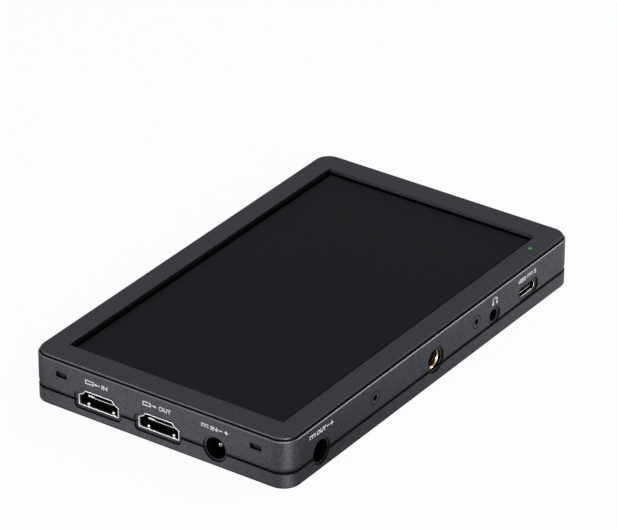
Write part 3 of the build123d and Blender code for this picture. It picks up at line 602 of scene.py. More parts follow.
def corner(radius, height, size, start, sweep=90, steps=CORNER_STEPS):
    """Profile points of an arc about (radius, height), angles in degrees."""
    angles = [math.radians(start + sweep * i / steps) for i in range(steps + 1)]
    return [(radius + size * math.cos(a), height + size * math.sin(a)) for a in angles]


def lathe(work, profile, x=0.0, y=0.0, steps=ROUND_STEPS):
    """Spins a closed profile about the drawing's z axis at a point."""
    rings = []
    for index in range(steps):
        turn = math.tau * index / steps
        c, s = math.cos(turn), math.sin(turn)
        rings.append([work.verts.new((x + r * c, y + r * s, z)) for r, z in profile])
    count = len(profile)
    for index, ring in enumerate(rings):
        after = rings[(index + 1) % steps]
        for j in range(count):
            k = (j + 1) % count
            if profile[j][0] > 0 or profile[k][0] > 0:
                work.faces.new((ring[j], after[j], after[k], ring[k]))
    return work


print("a turned ring has", ROUND_STEPS, "corners")

# %% [markdown]
# ## Outlines with round corners
#
# The video receptacle's outline has eight corners, with a hollow on each slope, and the data
# receptacle's is a stadium. One function rounds any outline: each corner becomes an arc about
# a point set in from the corner, and a larger or smaller arc gives the outline grown or
# shrunk, while a hollow corner stays sharp. Rings of such outlines at growing depth make a
# stamped shell with a rolled lip.

# %% Rounded outlines
def rectangle(x, y):
    """Corners of a rectangle about the drawing's middle, from its half sizes."""
    return [(-x, -y), (x, -y), (x, y), (-x, y)]


def outline(corners, inset, grown, steps=5):
    """Points of an outline, counter-clockwise, grown outwards by a margin."""
    points, count = [], len(corners)
    for index in range(count):
        here = Vector(corners[index])
        back = (here - Vector(corners[index - 1])).normalized()
        ahead = (Vector(corners[(index + 1) % count]) - here).normalized()
        n0, n1 = Vector((back.y, -back.x)), Vector((ahead.y, -ahead.x))
        mitre = (n0 + n1) / (1 + n0.dot(n1))
        centre = here - inset * mitre
        start = math.atan2(n0.y, n0.x)
        sweep = math.remainder(math.atan2(n1.y, n1.x) - start, math.tau)
        if sweep < 0 or inset + grown <= 0:
            points += [here + grown * mitre] * (steps + 1)
            continue
        for i in range(steps + 1):
            a = start + sweep * i / steps
            points.append(centre + (inset + grown) * Vector((math.cos(a), math.sin(a))))
    return points


def tube(work, rings, centre=(0.0, 0.0), loop=True):
    """Joins outlines, each with its height, into a closed wall."""
    made = []
    for points, z in rings:
        made.append([work.verts.new((centre[0] + p[0], centre[1] + p[1], z)) for p in points])
    pairs = list(zip(made, made[1:])) + ([(made[-1], made[0])] if loop else [])
    for low, high in pairs:
        for i in range(len(low)):
            j = (i + 1) % len(low)
            work.faces.new((low[i], low[j], high[j], high[i]))
    if not loop:
        work.faces.new(made[0])
        work.faces.new(made[-1])
    return work


# %% [markdown]
# A block has its edges cut back, because no moulded or sheared edge is quite sharp, and a cut
# edge catches light. A layer is one closed wall of a socket, made of rings.

# %% Blocks and layers
def slab(work, x0, x1, y0, y1, z0, z1, cut=0.0):
    """Block with every edge cut back."""
    made = bmesh.ops.create_cube(work, size=1.0)["verts"]
    for vertex in made:
        x, y, z = vertex.co
        vertex.co = (x1 if x > 0 else x0, y1 if y > 0 else y0, z1 if z > 0 else z0)
    if cut:
        edges = list(dict.fromkeys(edge for vertex in made for edge in vertex.link_edges))
        bmesh.ops.bevel(work, geom=edges, offset=cut, segments=2, affect="EDGES", profile=0.5)
    return work


def layer(name, shape, shell, rings, side, slot, **options):
    """One closed wall of a socket: its shape grown by margins, each at a height."""
    points = [(shape(shell.half, margin), z) for margin, z in rings]
    return finished(name, tube(bmesh.new(), points, shell.middle), side, slot, **options)


# %% [markdown]
# ## Video receptacles
#
# Each video receptacle is a tinned steel shell with a flared lip, and a dark moulding inside.
# The lip is what catches the light, so it has its own small arcs. A thin black liner stands
# for the shade inside the shell, where a mirror-bright wall would glitter.

# %% Video shells
SHEET = 0.35
LIP_FLARE = 0.03
LIP_ARC = 0.15
LIP_RUN = 0.7
VIDEO_BEND = 0.8
VIDEO_WAIST = (5.75, 1.65)
VIDEO_TOP = 5.05
VIDEO_CORNER = 0.4
LINER_START = 0.58
LINER = 0.12
# Painted shade: a black that takes in nearly all light, for the shade inside the sockets.
SHADE_BLACK = dull("socket black", (0.0003,) * 3, (0.0007,) * 3, 0.7, 0.02)
BRIGHT_LIP = metal("bright tinned lip", (0.80, 0.80, 0.79), (0.92, 0.92, 0.91), 0.34, 0.0004)


def video_ring(half, grown):
    """Rounded outline with eight corners and a hollow on each slope."""
    right = [(half.x, -half.y), (half.x, VIDEO_BEND), VIDEO_WAIST, (VIDEO_TOP, half.y)]
    return outline(right + [(-x, y) for x, y in reversed(right)], VIDEO_CORNER, grown)


def lip(front, back):
    """Margins and heights round a sheet's flared front edge, from its outside to its inside."""
    middle, half = (LIP_FLARE - SHEET) / 2, (LIP_FLARE + SHEET) / 2
    over = corner(half - LIP_ARC, front - LIP_ARC, LIP_ARC, 0)
    outside = [(middle + r, z) for r, z in over]
    inside = [(middle - r, z) for r, z in reversed(over)]
    return [(0.0, back), (0.0, front - LIP_RUN)] + outside + inside + [(-SHEET, back)]


def video_shell(name, shell):
    """Lipped shell, and the black liner inside it."""
    front, back = shell.high.z, shell.low.z
    layer(name + "_lipped_shell", video_ring, shell, lip(front, back), LEFT_SIDE,
          "tinned_steel", replaces=[name + "_shell"], material=BRIGHT_LIP)
    inside, deep = -SHEET - LINER, front - LINER_START
    rings = [(-SHEET, back + LINER), (-SHEET, deep), (inside, deep - LINER), (inside, back + LINER)]
    layer(name + "_liner", video_ring, shell, rings, LEFT_SIDE, "black_plastic",
          material=SHADE_BLACK)


# %% [markdown]
# ## Spring fingers
#
# Two sprung fingers press on a plug from below. A finger is a strip of sheet steel, with a
# polished bump near its tip; the strip wears the painted shade black of the socket's inside.
# The strip is drawn from the side as a bent line, which is given its thickness and then its
# width, and a ball that stands half in it is the bump.

# %% Fingers
STRIP = 0.12
FINGER_X = 4.6
FINGER_SHIFT = 0.4
FINGER_HALF = 0.65
FINGER_BEND = ((0.02, -7.0), (0.10, -4.5), (0.34, -1.6), (0.38, -1.1), (0.28, -0.7), (0.05, -0.5))
BUMP = 0.48
BUMP_HEIGHT = 0.45
BUMP_DEPTH = 0.88


def bent_strip(work, place, half, line):
    """Strip of sheet about a place, bent along a line of (up, out) points."""
    path = line + [(up - STRIP, out) for up, out in reversed(line)]
    ends = [[work.verts.new((place[0] + side * half, place[1] + up, out)) for up, out in path]
            for side in (-1, 1)]
    count = len(path)
    for i in range(count):
        j = (i + 1) % count
        work.faces.new((ends[0][i], ends[0][j], ends[1][j], ends[1][i]))
    for end in ends:
        for i in range(count // 2 - 1):
            j = count - 1 - i
            work.faces.new((end[i], end[i + 1], end[j - 1], end[j]))


def video_fingers(name, shell):
    """Two bent springs, and the bump near the tip of each."""
    strips, bumps = bmesh.new(), bmesh.new()
    wall, front = shell.low.y + SHEET, shell.high.z
    for side in (-1, 1):
        x = shell.middle.x + FINGER_SHIFT + side * FINGER_X
        bent_strip(strips, (x, wall), FINGER_HALF, [(up, front + z) for up, z in FINGER_BEND])
        place = Matrix.Translation((x, wall + BUMP_HEIGHT, front - BUMP_DEPTH))
        place = place @ Matrix.Scale(BUMP, 4)
        bmesh.ops.create_uvsphere(bumps, u_segments=20, v_segments=12, radius=1.0, matrix=place)
    finished(name + "_fingers", strips, LEFT_SIDE, "black_steel", material=SHADE_BLACK)
    finished(name + "_finger_bumps", bumps, LEFT_SIDE, "tinned_steel", material=BRIGHT_LIP)


# %% [markdown]
# ## Video tongue
#
# The tongue is a flat moulding that grows out of a block at the back of the shell. Along its
# front runs a bright metal strip with a taller tab at one end: painted highlights, for the light
# that the tongue's front edge and a spring catch. Blocks with cut edges give all three, because
# the cut edges catch light as moulded ones do.

# %% Tongue
TONGUE_REACH = 4.95
# The bright strip along the tongue's edge is a painted highlight.
TONGUE_LINE = (0.40, 0.62)     # height of the bright edge above the middle of the receptacle
BLADE_SINK = 0.12              # how deep the contacts lie in the moulding
BLOCK = 2.0
EDGE_SINK, EDGE_PROUD, EDGE_CUT = 0.3, 0.05, 0.03
TAB_START, TAB_END, TAB_LAP, TAB_PROUD = 0.55, 2.5, 0.3, 0.12


def video_tongue(name, shell):
    """Tongue with its back block, and a bright strip and end tab that are painted highlights."""
    middle, back = shell.middle, shell.low.z
    front = drawn(name + "_tongue", LEFT_SIDE).high.z
    contacts = drawn(name + "_contacts", LEFT_SIDE)
    y0, y1 = contacts.low.y + BLADE_SINK, contacts.high.y - BLADE_SINK
    left, right = middle.x - TONGUE_REACH, middle.x + TONGUE_REACH
    work = slab(bmesh.new(), left, right, y0, y1, back + BLOCK / 2, front, 0.1)
    block = [(video_ring(shell.half, -SHEET), z) for z in (back, back + BLOCK)]
    tube(work, block, middle, loop=False)
    finished(name + "_bevelled_tongue", work, LEFT_SIDE, "black_plastic",
             replaces=[name + "_tongue"], material=SHADE_BLACK)
    low, high = (middle.y + height for height in TONGUE_LINE)
    root = front - EDGE_SINK
    work = slab(bmesh.new(), left + TAB_END, right, low, high, root, front + EDGE_PROUD, EDGE_CUT)
    slab(work, left + TAB_START, left + TAB_END + TAB_LAP, low + 0.05, y1 - 0.1, root,
         front + TAB_PROUD, 0.05)
    finished(name + "_tongue_edge", work, LEFT_SIDE, "tinned_steel", material=BRIGHT_LIP)


for name in ("video_in", "video_out"):
    shell = drawn(name + "_shell", LEFT_SIDE)
    for piece in (video_shell, video_fingers, video_tongue):
        piece(name, shell)

# %% [markdown]
# ## Rows of equal pieces by Geometry Nodes
#
# Contacts, screws and mesh wires are one shape many times over. A Geometry Nodes tree puts a
# blueprint on each given point, makes the copies real and gives them their finish. The result
# is turned into a plain mesh, so nothing live is left when the piece starts to ride.


# %% Recipes
class Recipe(Nodes):
    """A Geometry Nodes tree with named inputs; Places is the mesh that it starts from."""

    def __init__(self, name, **inputs):
        super().__init__(bpy.data.node_groups.new(name, "GeometryNodeTree"))
        face = self.tree.interface
        face.new_socket("Geometry", in_out="OUTPUT", socket_type="NodeSocketGeometry")
        face.new_socket("Places", in_out="INPUT", socket_type="NodeSocketGeometry")
        for key, kind in inputs.items():
            face.new_socket(key, in_out="INPUT", socket_type="NodeSocket" + kind)
        self.start = self.tree.nodes.new("NodeGroupInput")

    def given(self, name):
        return Wire(self, self.start.outputs[name])

    def end(self, shape):
        """Makes every copy real and paints it with the input called Finish."""
        whole = self.node("GeometryNodeRealizeInstances", {}, {0: shape})
        sockets = {"Geometry": whole, "Material": self.given("Finish")}
        painted = self.node("GeometryNodeSetMaterial", {}, sockets)
        self.put(self.tree.nodes.new("NodeGroupOutput").inputs[0], painted)

    def run(self, name, places, **values):
        """Plain mesh that the tree makes from places, with its inputs set by identifier."""
        start = bpy.data.meshes.new(name)
        start.from_pydata([tuple(place) for place in places], [], [])
        holder = bpy.data.objects.new(name, start)
        modifier = holder.modifiers.new(name, "NODES")
        modifier.node_group = self.tree
        for item in self.tree.interface.items_tree:
            if item.in_out == "INPUT" and item.name in values:
                modifier[item.identifier] = values[item.name]
        bpy.context.collection.objects.link(holder)
        bpy.context.view_layer.update()
        made = holder.evaluated_get(bpy.context.evaluated_depsgraph_get())
        mesh = bpy.data.meshes.new_from_object(made)
        holder.modifiers.remove(modifier)
        bpy.data.objects.remove(holder)
        return mesh


# %% [markdown]
# The first recipe puts a blueprint object on every given point. The points are the middles of
# the solids in the CAD model, so each copy is where its solid is.

# %% Copies on points
def copies_recipe():
    """A copy of the blueprint on each place."""
    recipe = Recipe("copies", Blueprint="Object", Finish="Material")
    given = {"Object": recipe.given("Blueprint")}
    shape = recipe.node("GeometryNodeObjectInfo", {}, given, out="Geometry")
    sockets = {"Points": recipe.given("Places"), "Instance": shape}
    recipe.end(recipe.node("GeometryNodeInstanceOnPoints", {}, sockets))
    return recipe


COPIES = copies_recipe()


def copies(name, work, places, side, slot, material=None, **options):
    """A copy of the drawn shape at each place of the drawing board."""
    blueprint = bpy.data.objects.new(name + "_blueprint", mesh_of(name, work))
    bpy.context.collection.objects.link(blueprint)
    made = COPIES.run(name, places, Blueprint=blueprint, Finish=material or MATERIALS[slot])
    bpy.data.objects.remove(blueprint)
    made.transform(side)
    return dressed(name, made, slot, material=material, **options)


# %% [markdown]
# ## Contacts
#
# The video tongue has ten gold blades above and nine below, and the data tongue twelve on
# each face. Every blade dips at its front end, so that a plug slides on. The blade is drawn
# once for each face and copied along its row.


# %% Contact blades
BLADE_DIP, BLADE_RUN = 0.6, 4.0     # as shares of half a blade's thickness
# Painted shade: the contacts are a darkened copy of the gold plate, for the socket's dark inside.
SHADED_GOLD = metal("gold in the dark of a socket", (0.16, 0.10, 0.03), (0.24, 0.15, 0.05), 0.5)


def blade(solid, face):
    """A contact blade about its own middle, with its front end bent towards the tongue."""
    half, rings = solid.half, []
    dip, run = BLADE_DIP * half.y, BLADE_RUN * half.y
    path = [(-half.z, 0.0), (half.z - run, 0.0), (half.z - run / 3, -dip), (half.z, -2 * dip)]
    for z, drop in path:
        rings.append(([(x, y + face * drop) for x, y in rectangle(half.x, half.y)], z))
    return tube(bmesh.new(), rings, loop=False)


def contact_rows(name, side):
    """Two meshes of blades, above and below the tongue."""
    blades, middle = solids(name, side), drawn(name, side).middle.y
    for face, word in ((1, "upper"), (-1, "lower")):
        row = [solid for solid in blades if (solid.middle.y - middle) * face > 0]
        places = [solid.middle for solid in row]
        copies(f"{name}_{word}", blade(row[0], face), places, side, "gold_contacts",
               material=SHADED_GOLD, replaces=[name] if face > 0 else ())


for name, side in (("video_in", LEFT_SIDE), ("video_out", LEFT_SIDE), ("data", NEAR_SIDE)):
    contact_rows(name + "_contacts", side)

# %% [markdown]
# ## Power jacks and the headphone jack
#
# A power jack shows a black nose with a round edge and a bright pin with a domed tip. A leaf
# spring lies along the bore wall. The nose, the spring and the jack's body wear painted shade
# black, for the shade in the bore. The headphone jack has the same nose at a smaller size.

# %% Round jacks
NOSE_ARC = 0.1
DOME = 0.8
LEAF_HALF = 0.9
LEAF_BEND = ((0.06, -8.5), (0.10, -5.0), (0.45, -3.6), (0.30, -2.6), (0.08, -2.2))


def nose(name, centre, face, side, outer, inner, proud, length):
    """Round edged ring that stands proud of a jack's face."""
    front, back = face + proud, face - length
    over = corner(outer - NOSE_ARC, front - NOSE_ARC, NOSE_ARC, 0)
    under = corner(inner + NOSE_ARC, front - NOSE_ARC, NOSE_ARC, 90)
    work = lathe(bmesh.new(), [(outer, back)] + over + under + [(inner, back)], *centre)
    return finished(name, work, side, "black_plastic", material=SHADE_BLACK)


def domed_pin(name, side):
    """Nickel pin with a domed tip, in place of the plain one."""
    pin = drawn(name, side)
    radius, tip, root = pin.half.x, pin.high.z, pin.low.z
    rise = DOME * radius
    angles = [math.radians(10 * i) for i in range(9)]
    dome = [(radius * math.cos(a), tip - rise + rise * math.sin(a)) for a in angles]
    profile = [(0.0, root), (radius, root)] + dome + [(0.0, tip)]
    work = lathe(bmesh.new(), profile, pin.middle.x, pin.middle.y, 32)
    return finished(name.replace("pin", "domed_pin"), work, side, "nickel_pin", replaces=[name])


def leaf(name, centre, bore, front, side):
    """Bent spring strip along the top of a bore."""
    work = bmesh.new()
    bent_strip(work, centre, LEAF_HALF, [(bore - drop, front + z) for drop, z in LEAF_BEND])
    return finished(name, work, side, "nickel_pin", material=SHADE_BLACK)


# %% [markdown]
# The two power jacks differ only in their side. The headphone jack has no pin of its own,
# because a plug brings it, and its leaf spring lies deeper in the bore.

# %% Power and headphone jacks
POWER_NOSE = {"outer": 3.56, "inner": 3.18, "proud": 0.04, "length": 1.0}
POWER_BORE = 2.8
PHONES_NOSE = {"outer": 1.98, "inner": 1.78, "proud": 0.05, "length": 0.9}
PHONES_BORE, PHONES_HEIGHT, PHONES_LEAF = 1.8, 7.95, 1.0
for name, side in (("power_in", LEFT_SIDE), ("power_out", NEAR_SIDE)):
    jack, pin = drawn(name + "_jack", side), drawn(name + "_pin", side)
    centre = (pin.middle.x, pin.middle.y)
    nose(name + "_nose", centre, jack.high.z, side, **POWER_NOSE)
    # The jack's body wears the painted shade black too.
    frame["nodes"][name + "_jack"].data.materials[0] = SHADE_BLACK
    domed_pin(name + "_pin", side)
    leaf(name + "_leaf", centre, POWER_BORE, jack.high.z, side)
jack = drawn("phones_jack", NEAR_SIDE)
frame["nodes"]["phones_jack"].data.materials[0] = SHADE_BLACK
centre = (jack.middle.x, PHONES_HEIGHT)
nose("phones_nose", centre, jack.high.z, NEAR_SIDE, **PHONES_NOSE)
leaf("phones_leaf", centre, PHONES_BORE, jack.high.z - PHONES_LEAF, NEAR_SIDE)

# %% [markdown]
# ## Data receptacle
#
# The small data receptacle is a seamless stadium, blackened outside and bright inside, round
# a thin tongue. One mesh has one finish here, so the shell is two layers, and a black liner
# inside them is painted shade that keeps the depth dark. The tongue is made as the video
# tongues are, with a bright strip that is a painted highlight.

# %% Data socket
DATA_SHEET = 0.3
DATA_BLACK = 0.21
DATA_MOUTH = 0.09
DATA_ARC = 0.08
DATA_BLOCK = 1.0
DATA_TONGUE = 3.35
DATA_EDGE = (3.3, 0.14)        # half length, and how far it stands out of the tongue
DULL_LIP = metal("dull tinned lip", (0.60, 0.60, 0.59), (0.72, 0.72, 0.71), 0.4, 0.0004)


def stadium(half, grown):
    """Outline of a stadium that is as high as it is round."""
    return outline(rectangle(half.x, half.y), half.y - 0.001, grown, 10)


def data_shell(shell):
    """Blackened outside, bright inside, and the painted-shade liner of the shell."""
    front, back = shell.high.z, shell.low.z
    arc = corner(-DATA_ARC, front - DATA_ARC, DATA_ARC, 0)
    rings = [(0.0, back)] + arc + [(-DATA_BLACK, front), (-DATA_BLACK, back)]
    layer("data_outer_shell", stadium, shell, rings, NEAR_SIDE, "black_steel",
          replaces=["data_shell"])
    mouth, inside = front - DATA_MOUTH, -DATA_SHEET - 0.05
    rings = [(-DATA_BLACK, back), (-DATA_BLACK, front - 0.01), (-DATA_SHEET, mouth)]
    rings.append((-DATA_SHEET, back))
    layer("data_inner_shell", stadium, shell, rings, NEAR_SIDE, "tinned_steel", material=DULL_LIP)
    rings = [(-DATA_SHEET, back), (-DATA_SHEET, mouth - 0.04), (inside, front - 0.3)]
    rings.append((inside, back))
    layer("data_liner", stadium, shell, rings, NEAR_SIDE, "black_plastic", material=SHADE_BLACK)


def data_tongue(shell, tip):
    """Tongue with its back block, and a bright strip along its edge that is a painted highlight."""
    blades, middle, back = drawn("data_contacts", NEAR_SIDE), shell.middle, shell.low.z
    y0, y1 = blades.low.y + 0.08, blades.high.y - 0.08
    reach, (edge, proud) = DATA_TONGUE, DATA_EDGE
    work = slab(bmesh.new(), middle.x - reach, middle.x + reach, y0, y1, back + 0.8, tip, 0.06)
    block = [(stadium(shell.half, -DATA_SHEET), z) for z in (back, back + DATA_BLOCK)]
    tube(work, block, middle, loop=False)
    finished("data_bevelled_tongue", work, NEAR_SIDE, "black_plastic", replaces=["data_tongue"],
             material=SHADE_BLACK)
    work = slab(bmesh.new(), middle.x - edge, middle.x + edge, y0 - 0.08, y0 + 0.16,
                tip - 0.3, tip + proud, 0.07)
    finished("data_tongue_edge", work, NEAR_SIDE, "tinned_steel", material=BRIGHT_LIP)


shell, tip = drawn("data_shell", NEAR_SIDE), drawn("data_tongue", NEAR_SIDE).high.z
data_shell(shell)
data_tongue(shell, tip)

# %% [markdown]
# ## Threaded inserts
#
# The tripod insert is turned from brass and has a quarter inch thread, twenty turns to the
# inch. The back has four inserts with the M4 thread. A thread is a helix: every point of the
# grid lies at a height that grows by one pitch in one turn, so the crests are clean lines.
# Rows that pass an end are held at that end, and the radius there is read from the profile.


# %% Threads
CREST, FLANK = 0.15, 0.65      # shares of half a pitch
MOUTH = 0.05
TURNED_CUT = 0.08


def thread_radius(phase, minor, major):
    """Radius of a 60 degree inner thread at a share of its pitch."""
    share = abs(math.remainder(phase, 1.0)) * 2
    slope = min(max((share - CREST) / FLANK, 0.0), 1.0)
    return minor + (major - minor) * slope


def threaded(work, insert, thread, outer, steps=64, rows=10):
    """Sleeve whose inside is a right-handed thread; outer lists its outside, bottom first."""
    centre, top, bottom = insert.middle, insert.high.z, insert.low.z
    minor, major, pitch = thread
    mouth = major + MOUTH
    first = math.floor((bottom - top) / pitch) - 2
    columns = []
    for index in range(steps + 1):
        turn = index / steps
        c, s = math.cos(math.tau * turn), math.sin(math.tau * turn)
        points = list(outer)
        for row in range(-first * rows + rows, -1, -1):
            z = top + pitch * (turn + first + (row - 1) / rows)
            z = min(max(z, bottom), top)
            radius = thread_radius((z - top) / pitch - turn, minor, major)
            points.append((max(radius, mouth - (top - z), mouth - (z - bottom)), z))
        ring = [work.verts.new((centre[0] + r * c, centre[1] + r * s, z)) for r, z in points]
        columns.append(ring)
    for left, right in zip(columns, columns[1:]):
        for j in range(len(left)):
            k = (j + 1) % len(left)
            work.faces.new((left[j], right[j], right[k], left[k]))
    return work


def steps_of(*pairs):
    """Outside of a turned sleeve, with a small cut at each corner."""
    points = []
    for radius, low, high in pairs:
        inner = radius - TURNED_CUT
        points += [(inner, low), (radius, low + TURNED_CUT)]
        points += [(radius, high - TURNED_CUT), (inner, high)]
    return points


# %% [markdown]
# The tripod insert shines at its face, and down its bore the brass turns dark brown: painted
# shade. The two colours meet within a fraction of a millimetre behind the face. A thread is
# given by its smaller radius, its larger radius and its pitch.

# %% Inserts
INCH = 25.4
TRIPOD_THREAD = (2.55, 3.13, INCH / 20)
PLATE_THREAD = (1.65, 2.02, 0.7)
TRIPOD_NECK, TRIPOD_SHOULDER = 3.33, -3.2
BRIGHT_BRASS = ((0.86, 0.64, 0.30), (0.98, 0.80, 0.46))
SHADED_BRASS = ((0.035, 0.014, 0.005), (0.08, 0.032, 0.010))
SHADE_RUN = (0.10 * MM, 0.40 * MM)


def shaded_bore_brass(face):
    """Brass that turns dark brown down the bore: painted shade."""
    finish = Finish("oiled brass")
    grain = finish.grain(0.2 * MM, 3.0)
    deep = finish.ramp(finish.axis("Y") - face, *SHADE_RUN)
    bright, brown = (finish.blend(grain, *tones) for tones in (BRIGHT_BRASS, SHADED_BRASS))
    colour = finish.blend(deep, bright, brown)
    return finish.surface(base_color=colour, roughness=0.24 + 0.08 * grain, metallic=1.0)


insert = drawn("tripod_insert", NEAR_SIDE)
outside = steps_of((insert.half.x, insert.low.z, TRIPOD_SHOULDER),
                   (TRIPOD_NECK, TRIPOD_SHOULDER, insert.high.z))
work = threaded(bmesh.new(), insert, TRIPOD_THREAD, outside)
finished("threaded_tripod_insert", work, NEAR_SIDE, "brass", replaces=["tripod_insert"],
         material=shaded_bore_brass(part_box("tripod_insert")[0].y))

work = bmesh.new()
for sleeve in solids("plate_inserts", BACK_SIDE):
    outside = steps_of((sleeve.half.x, sleeve.low.z, sleeve.high.z))
    threaded(work, sleeve, PLATE_THREAD, outside, 48, 8)
finished("threaded_plate_inserts", work, BACK_SIDE, "brass", replaces=["plate_inserts"])

# %% [markdown]
# ## Screws in the back
#
# Six countersunk screws hold the rear cover. One screw is turned on the lathe, a tapered
# cross is cut out of its head with a Boolean modifier, and Geometry Nodes put a copy at the
# middle of every screw in the CAD model.

# %% Cover screws
CROSS_HALF = (0.95, 0.26)
CROSS_RINGS = ((1.15, 0.1), (0.45, -0.75))     # share of the cross's length, and height
SHORT_SHARE = 0.6                              # how much of that the cross's width follows
SCREW_SHANK, SCREW_HEAD, SCREW_TIP = 1.23, 1.1, 0.2
SCREW_ARC = 0.08


def cross_cutter():
    """Tapered cross that a screwdriver's tip leaves free."""
    work = bmesh.new()
    long, short = CROSS_HALF
    for a, b in ((long, short), (short, long)):
        rings = []
        for share, z in CROSS_RINGS:
            scale = {long: share, short: 1 - SHORT_SHARE + SHORT_SHARE * share}
            rings.append((rectangle(a * scale[a], b * scale[b]), z))
        tube(work, rings, loop=False)
    return work


def carved(name, work, cutter):
    """The drawn shape with the cutter taken out of it."""
    objects = [bpy.data.objects.new(name, mesh_of(name, part)) for part in (work, cutter)]
    for thing in objects:
        bpy.context.collection.objects.link(thing)
    modifier = objects[0].modifiers.new("cut", "BOOLEAN")
    modifier.object, modifier.solver, modifier.use_self = objects[1], "EXACT", True
    bpy.context.view_layer.update()
    made = objects[0].evaluated_get(bpy.context.evaluated_depsgraph_get())
    result = bmesh.new()
    result.from_mesh(bpy.data.meshes.new_from_object(made))
    for thing in objects:
        bpy.data.objects.remove(thing)
    return result


def countersunk(screw):
    """Flat head screw about the middle of its head face, with a turned shank."""
    radius, length, tip = screw.half.x, 2 * screw.half.z, SCREW_SHANK - SCREW_TIP
    profile = [(0.0, -length), (tip, -length), (SCREW_SHANK, -length + SCREW_TIP)]
    profile += [(SCREW_SHANK, -SCREW_HEAD), (radius - 0.03, -0.12)]
    profile += corner(radius - SCREW_ARC, -SCREW_ARC, SCREW_ARC, 0)[1:] + [(0.0, 0.0)]
    return carved("cover_screw", lathe(bmesh.new(), profile, steps=40), cross_cutter())


screws = solids("cover_screws", BACK_SIDE)
places = [(screw.middle.x, screw.middle.y, screw.high.z) for screw in screws]
copies("cross_head_cover_screws", countersunk(screws[0]), places, BACK_SIDE, "black_steel",
       replaces=["cover_screws"])

# %% [markdown]
# ## Dust mesh behind the vents
#
# The mesh is woven from black wire: each wire goes over one and under the next. A wavy wire is
# drawn as a curve along X, copied across Y with every second one moved along by one wire, and
# the same pattern turned by a quarter makes the other set.

# %% Woven mesh
MESH_PITCH = 0.8
MESH_WIRE = 0.075
MESH_SIDES = 5


def wavy_wire(recipe):
    """A wire along X that goes up and down once in two pitches."""
    half = recipe.given("Length") * 0.5
    ends = {"Start": recipe.vector(X=half * -1), "End": recipe.vector(X=half)}
    line = recipe.node("GeometryNodeCurvePrimitiveLine", {}, ends)
    sockets = {"Curve": line, "Length": recipe.given("Pitch") * 0.25}
    line = recipe.node("GeometryNodeResampleCurve", {"mode": "LENGTH"}, sockets)
    place = recipe.node("GeometryNodeInputPosition")
    along = recipe.node("ShaderNodeSeparateXYZ", {}, {0: place}, out="X")
    wave = (along * (math.pi / MESH_PITCH)).math("SINE") * recipe.given("Wire") * 0.9
    sockets = {"Geometry": line, "Offset": recipe.vector(Z=wave)}
    line = recipe.node("GeometryNodeSetPosition", {}, sockets)
    sockets = {"Resolution": MESH_SIDES, "Radius": recipe.given("Wire")}
    ring = recipe.node("GeometryNodeCurvePrimitiveCircle", {}, sockets)
    return recipe.node("GeometryNodeCurveToMesh", {}, {"Curve": line, "Profile Curve": ring})


def weave_recipe():
    """Wires side by side, with every second one moved along by one pitch."""
    sizes = dict.fromkeys(("Pitch", "Wire", "Length"), "Float")
    recipe = Recipe("weave", **sizes, Count="Int", Finish="Material")
    pitch, count = recipe.given("Pitch"), recipe.given("Count")
    start = recipe.vector(Y=(count - 1) * pitch * -0.5)
    sockets = {"Count": count, "Start Location": start, "Offset": recipe.vector(Y=pitch)}
    row = recipe.node("GeometryNodeMeshLine", {"mode": "OFFSET"}, sockets)
    odd = recipe.node("GeometryNodeInputIndex").math("MODULO", 2.0)
    sockets = {"Geometry": row, "Offset": recipe.vector(X=odd * pitch)}
    row = recipe.node("GeometryNodeSetPosition", {}, sockets)
    sockets = {"Points": row, "Instance": wavy_wire(recipe)}
    recipe.end(recipe.node("GeometryNodeInstanceOnPoints", {}, sockets))
    return recipe


def woven_mesh():
    """Both sets of wires, at the place of the CAD sheet."""
    sheet, weave, work = drawn("dust_mesh", BACK_SIDE), weave_recipe(), bmesh.new()
    for turn, along, across in ((0, sheet.half.x, sheet.half.y), (90, sheet.half.y, sheet.half.x)):
        sizes = {"Pitch": MESH_PITCH, "Wire": MESH_WIRE, "Length": 2 * along - 2 * MESH_PITCH}
        count = int(2 * across / MESH_PITCH) - 1
        wires = weave.run("dust_wires", [], Count=count, Finish=MATERIALS["black_mesh"], **sizes)
        turned = Matrix.Rotation(math.radians(turn), 4, "Z")
        wires.transform(Matrix.Translation(sheet.middle) @ turned)
        work.from_mesh(wires)
    finished("woven_dust_mesh", work, BACK_SIDE, "black_mesh", replaces=["dust_mesh"], crease=60)


woven_mesh()

# %% [markdown]
# ## White ink
#
# The sockets are marked in white ink. A mark could be an image texture, but a film of ink a few
# hundredths of a millimetre thick stays sharp at any distance. It is drawn as bars, bands and
# letters, each from just under the metal to just above it.

# %% Ink
INK_TOP = 0.02
INK_LOW = -0.01
LINE = 0.37
BAND_STEPS = 24
LETTER_BOLD = 0.028
WHITE_INK = plastic("white ink", (0.78, 0.78, 0.80), (0.92, 0.92, 0.93), 0.15, 0.5, 0.002)


def ink_bar(work, x0, y0, x1, y1):
    slab(work, x0, x1, y0, y1, INK_LOW, INK_TOP)


def ink_band(work, x, y, radius, start, sweep, line=LINE):
    """Part of a ring, from a start through a sweep in degrees."""
    inner, outer = radius - line / 2, radius + line / 2
    section = [(inner, INK_LOW), (outer, INK_LOW), (outer, INK_TOP), (inner, INK_TOP)]
    rows = []
    for i in range(BAND_STEPS + 1):
        a = math.radians(start + sweep * i / BAND_STEPS)
        c, s = math.cos(a), math.sin(a)
        rows.append([work.verts.new((x + r * c, y + r * s, z)) for r, z in section])
    for low, high in zip(rows, rows[1:]):
        for j in range(4):
            k = (j + 1) % 4
            work.faces.new((low[j], high[j], high[k], low[k]))
    work.faces.new(rows[0])
    work.faces.new(rows[-1])


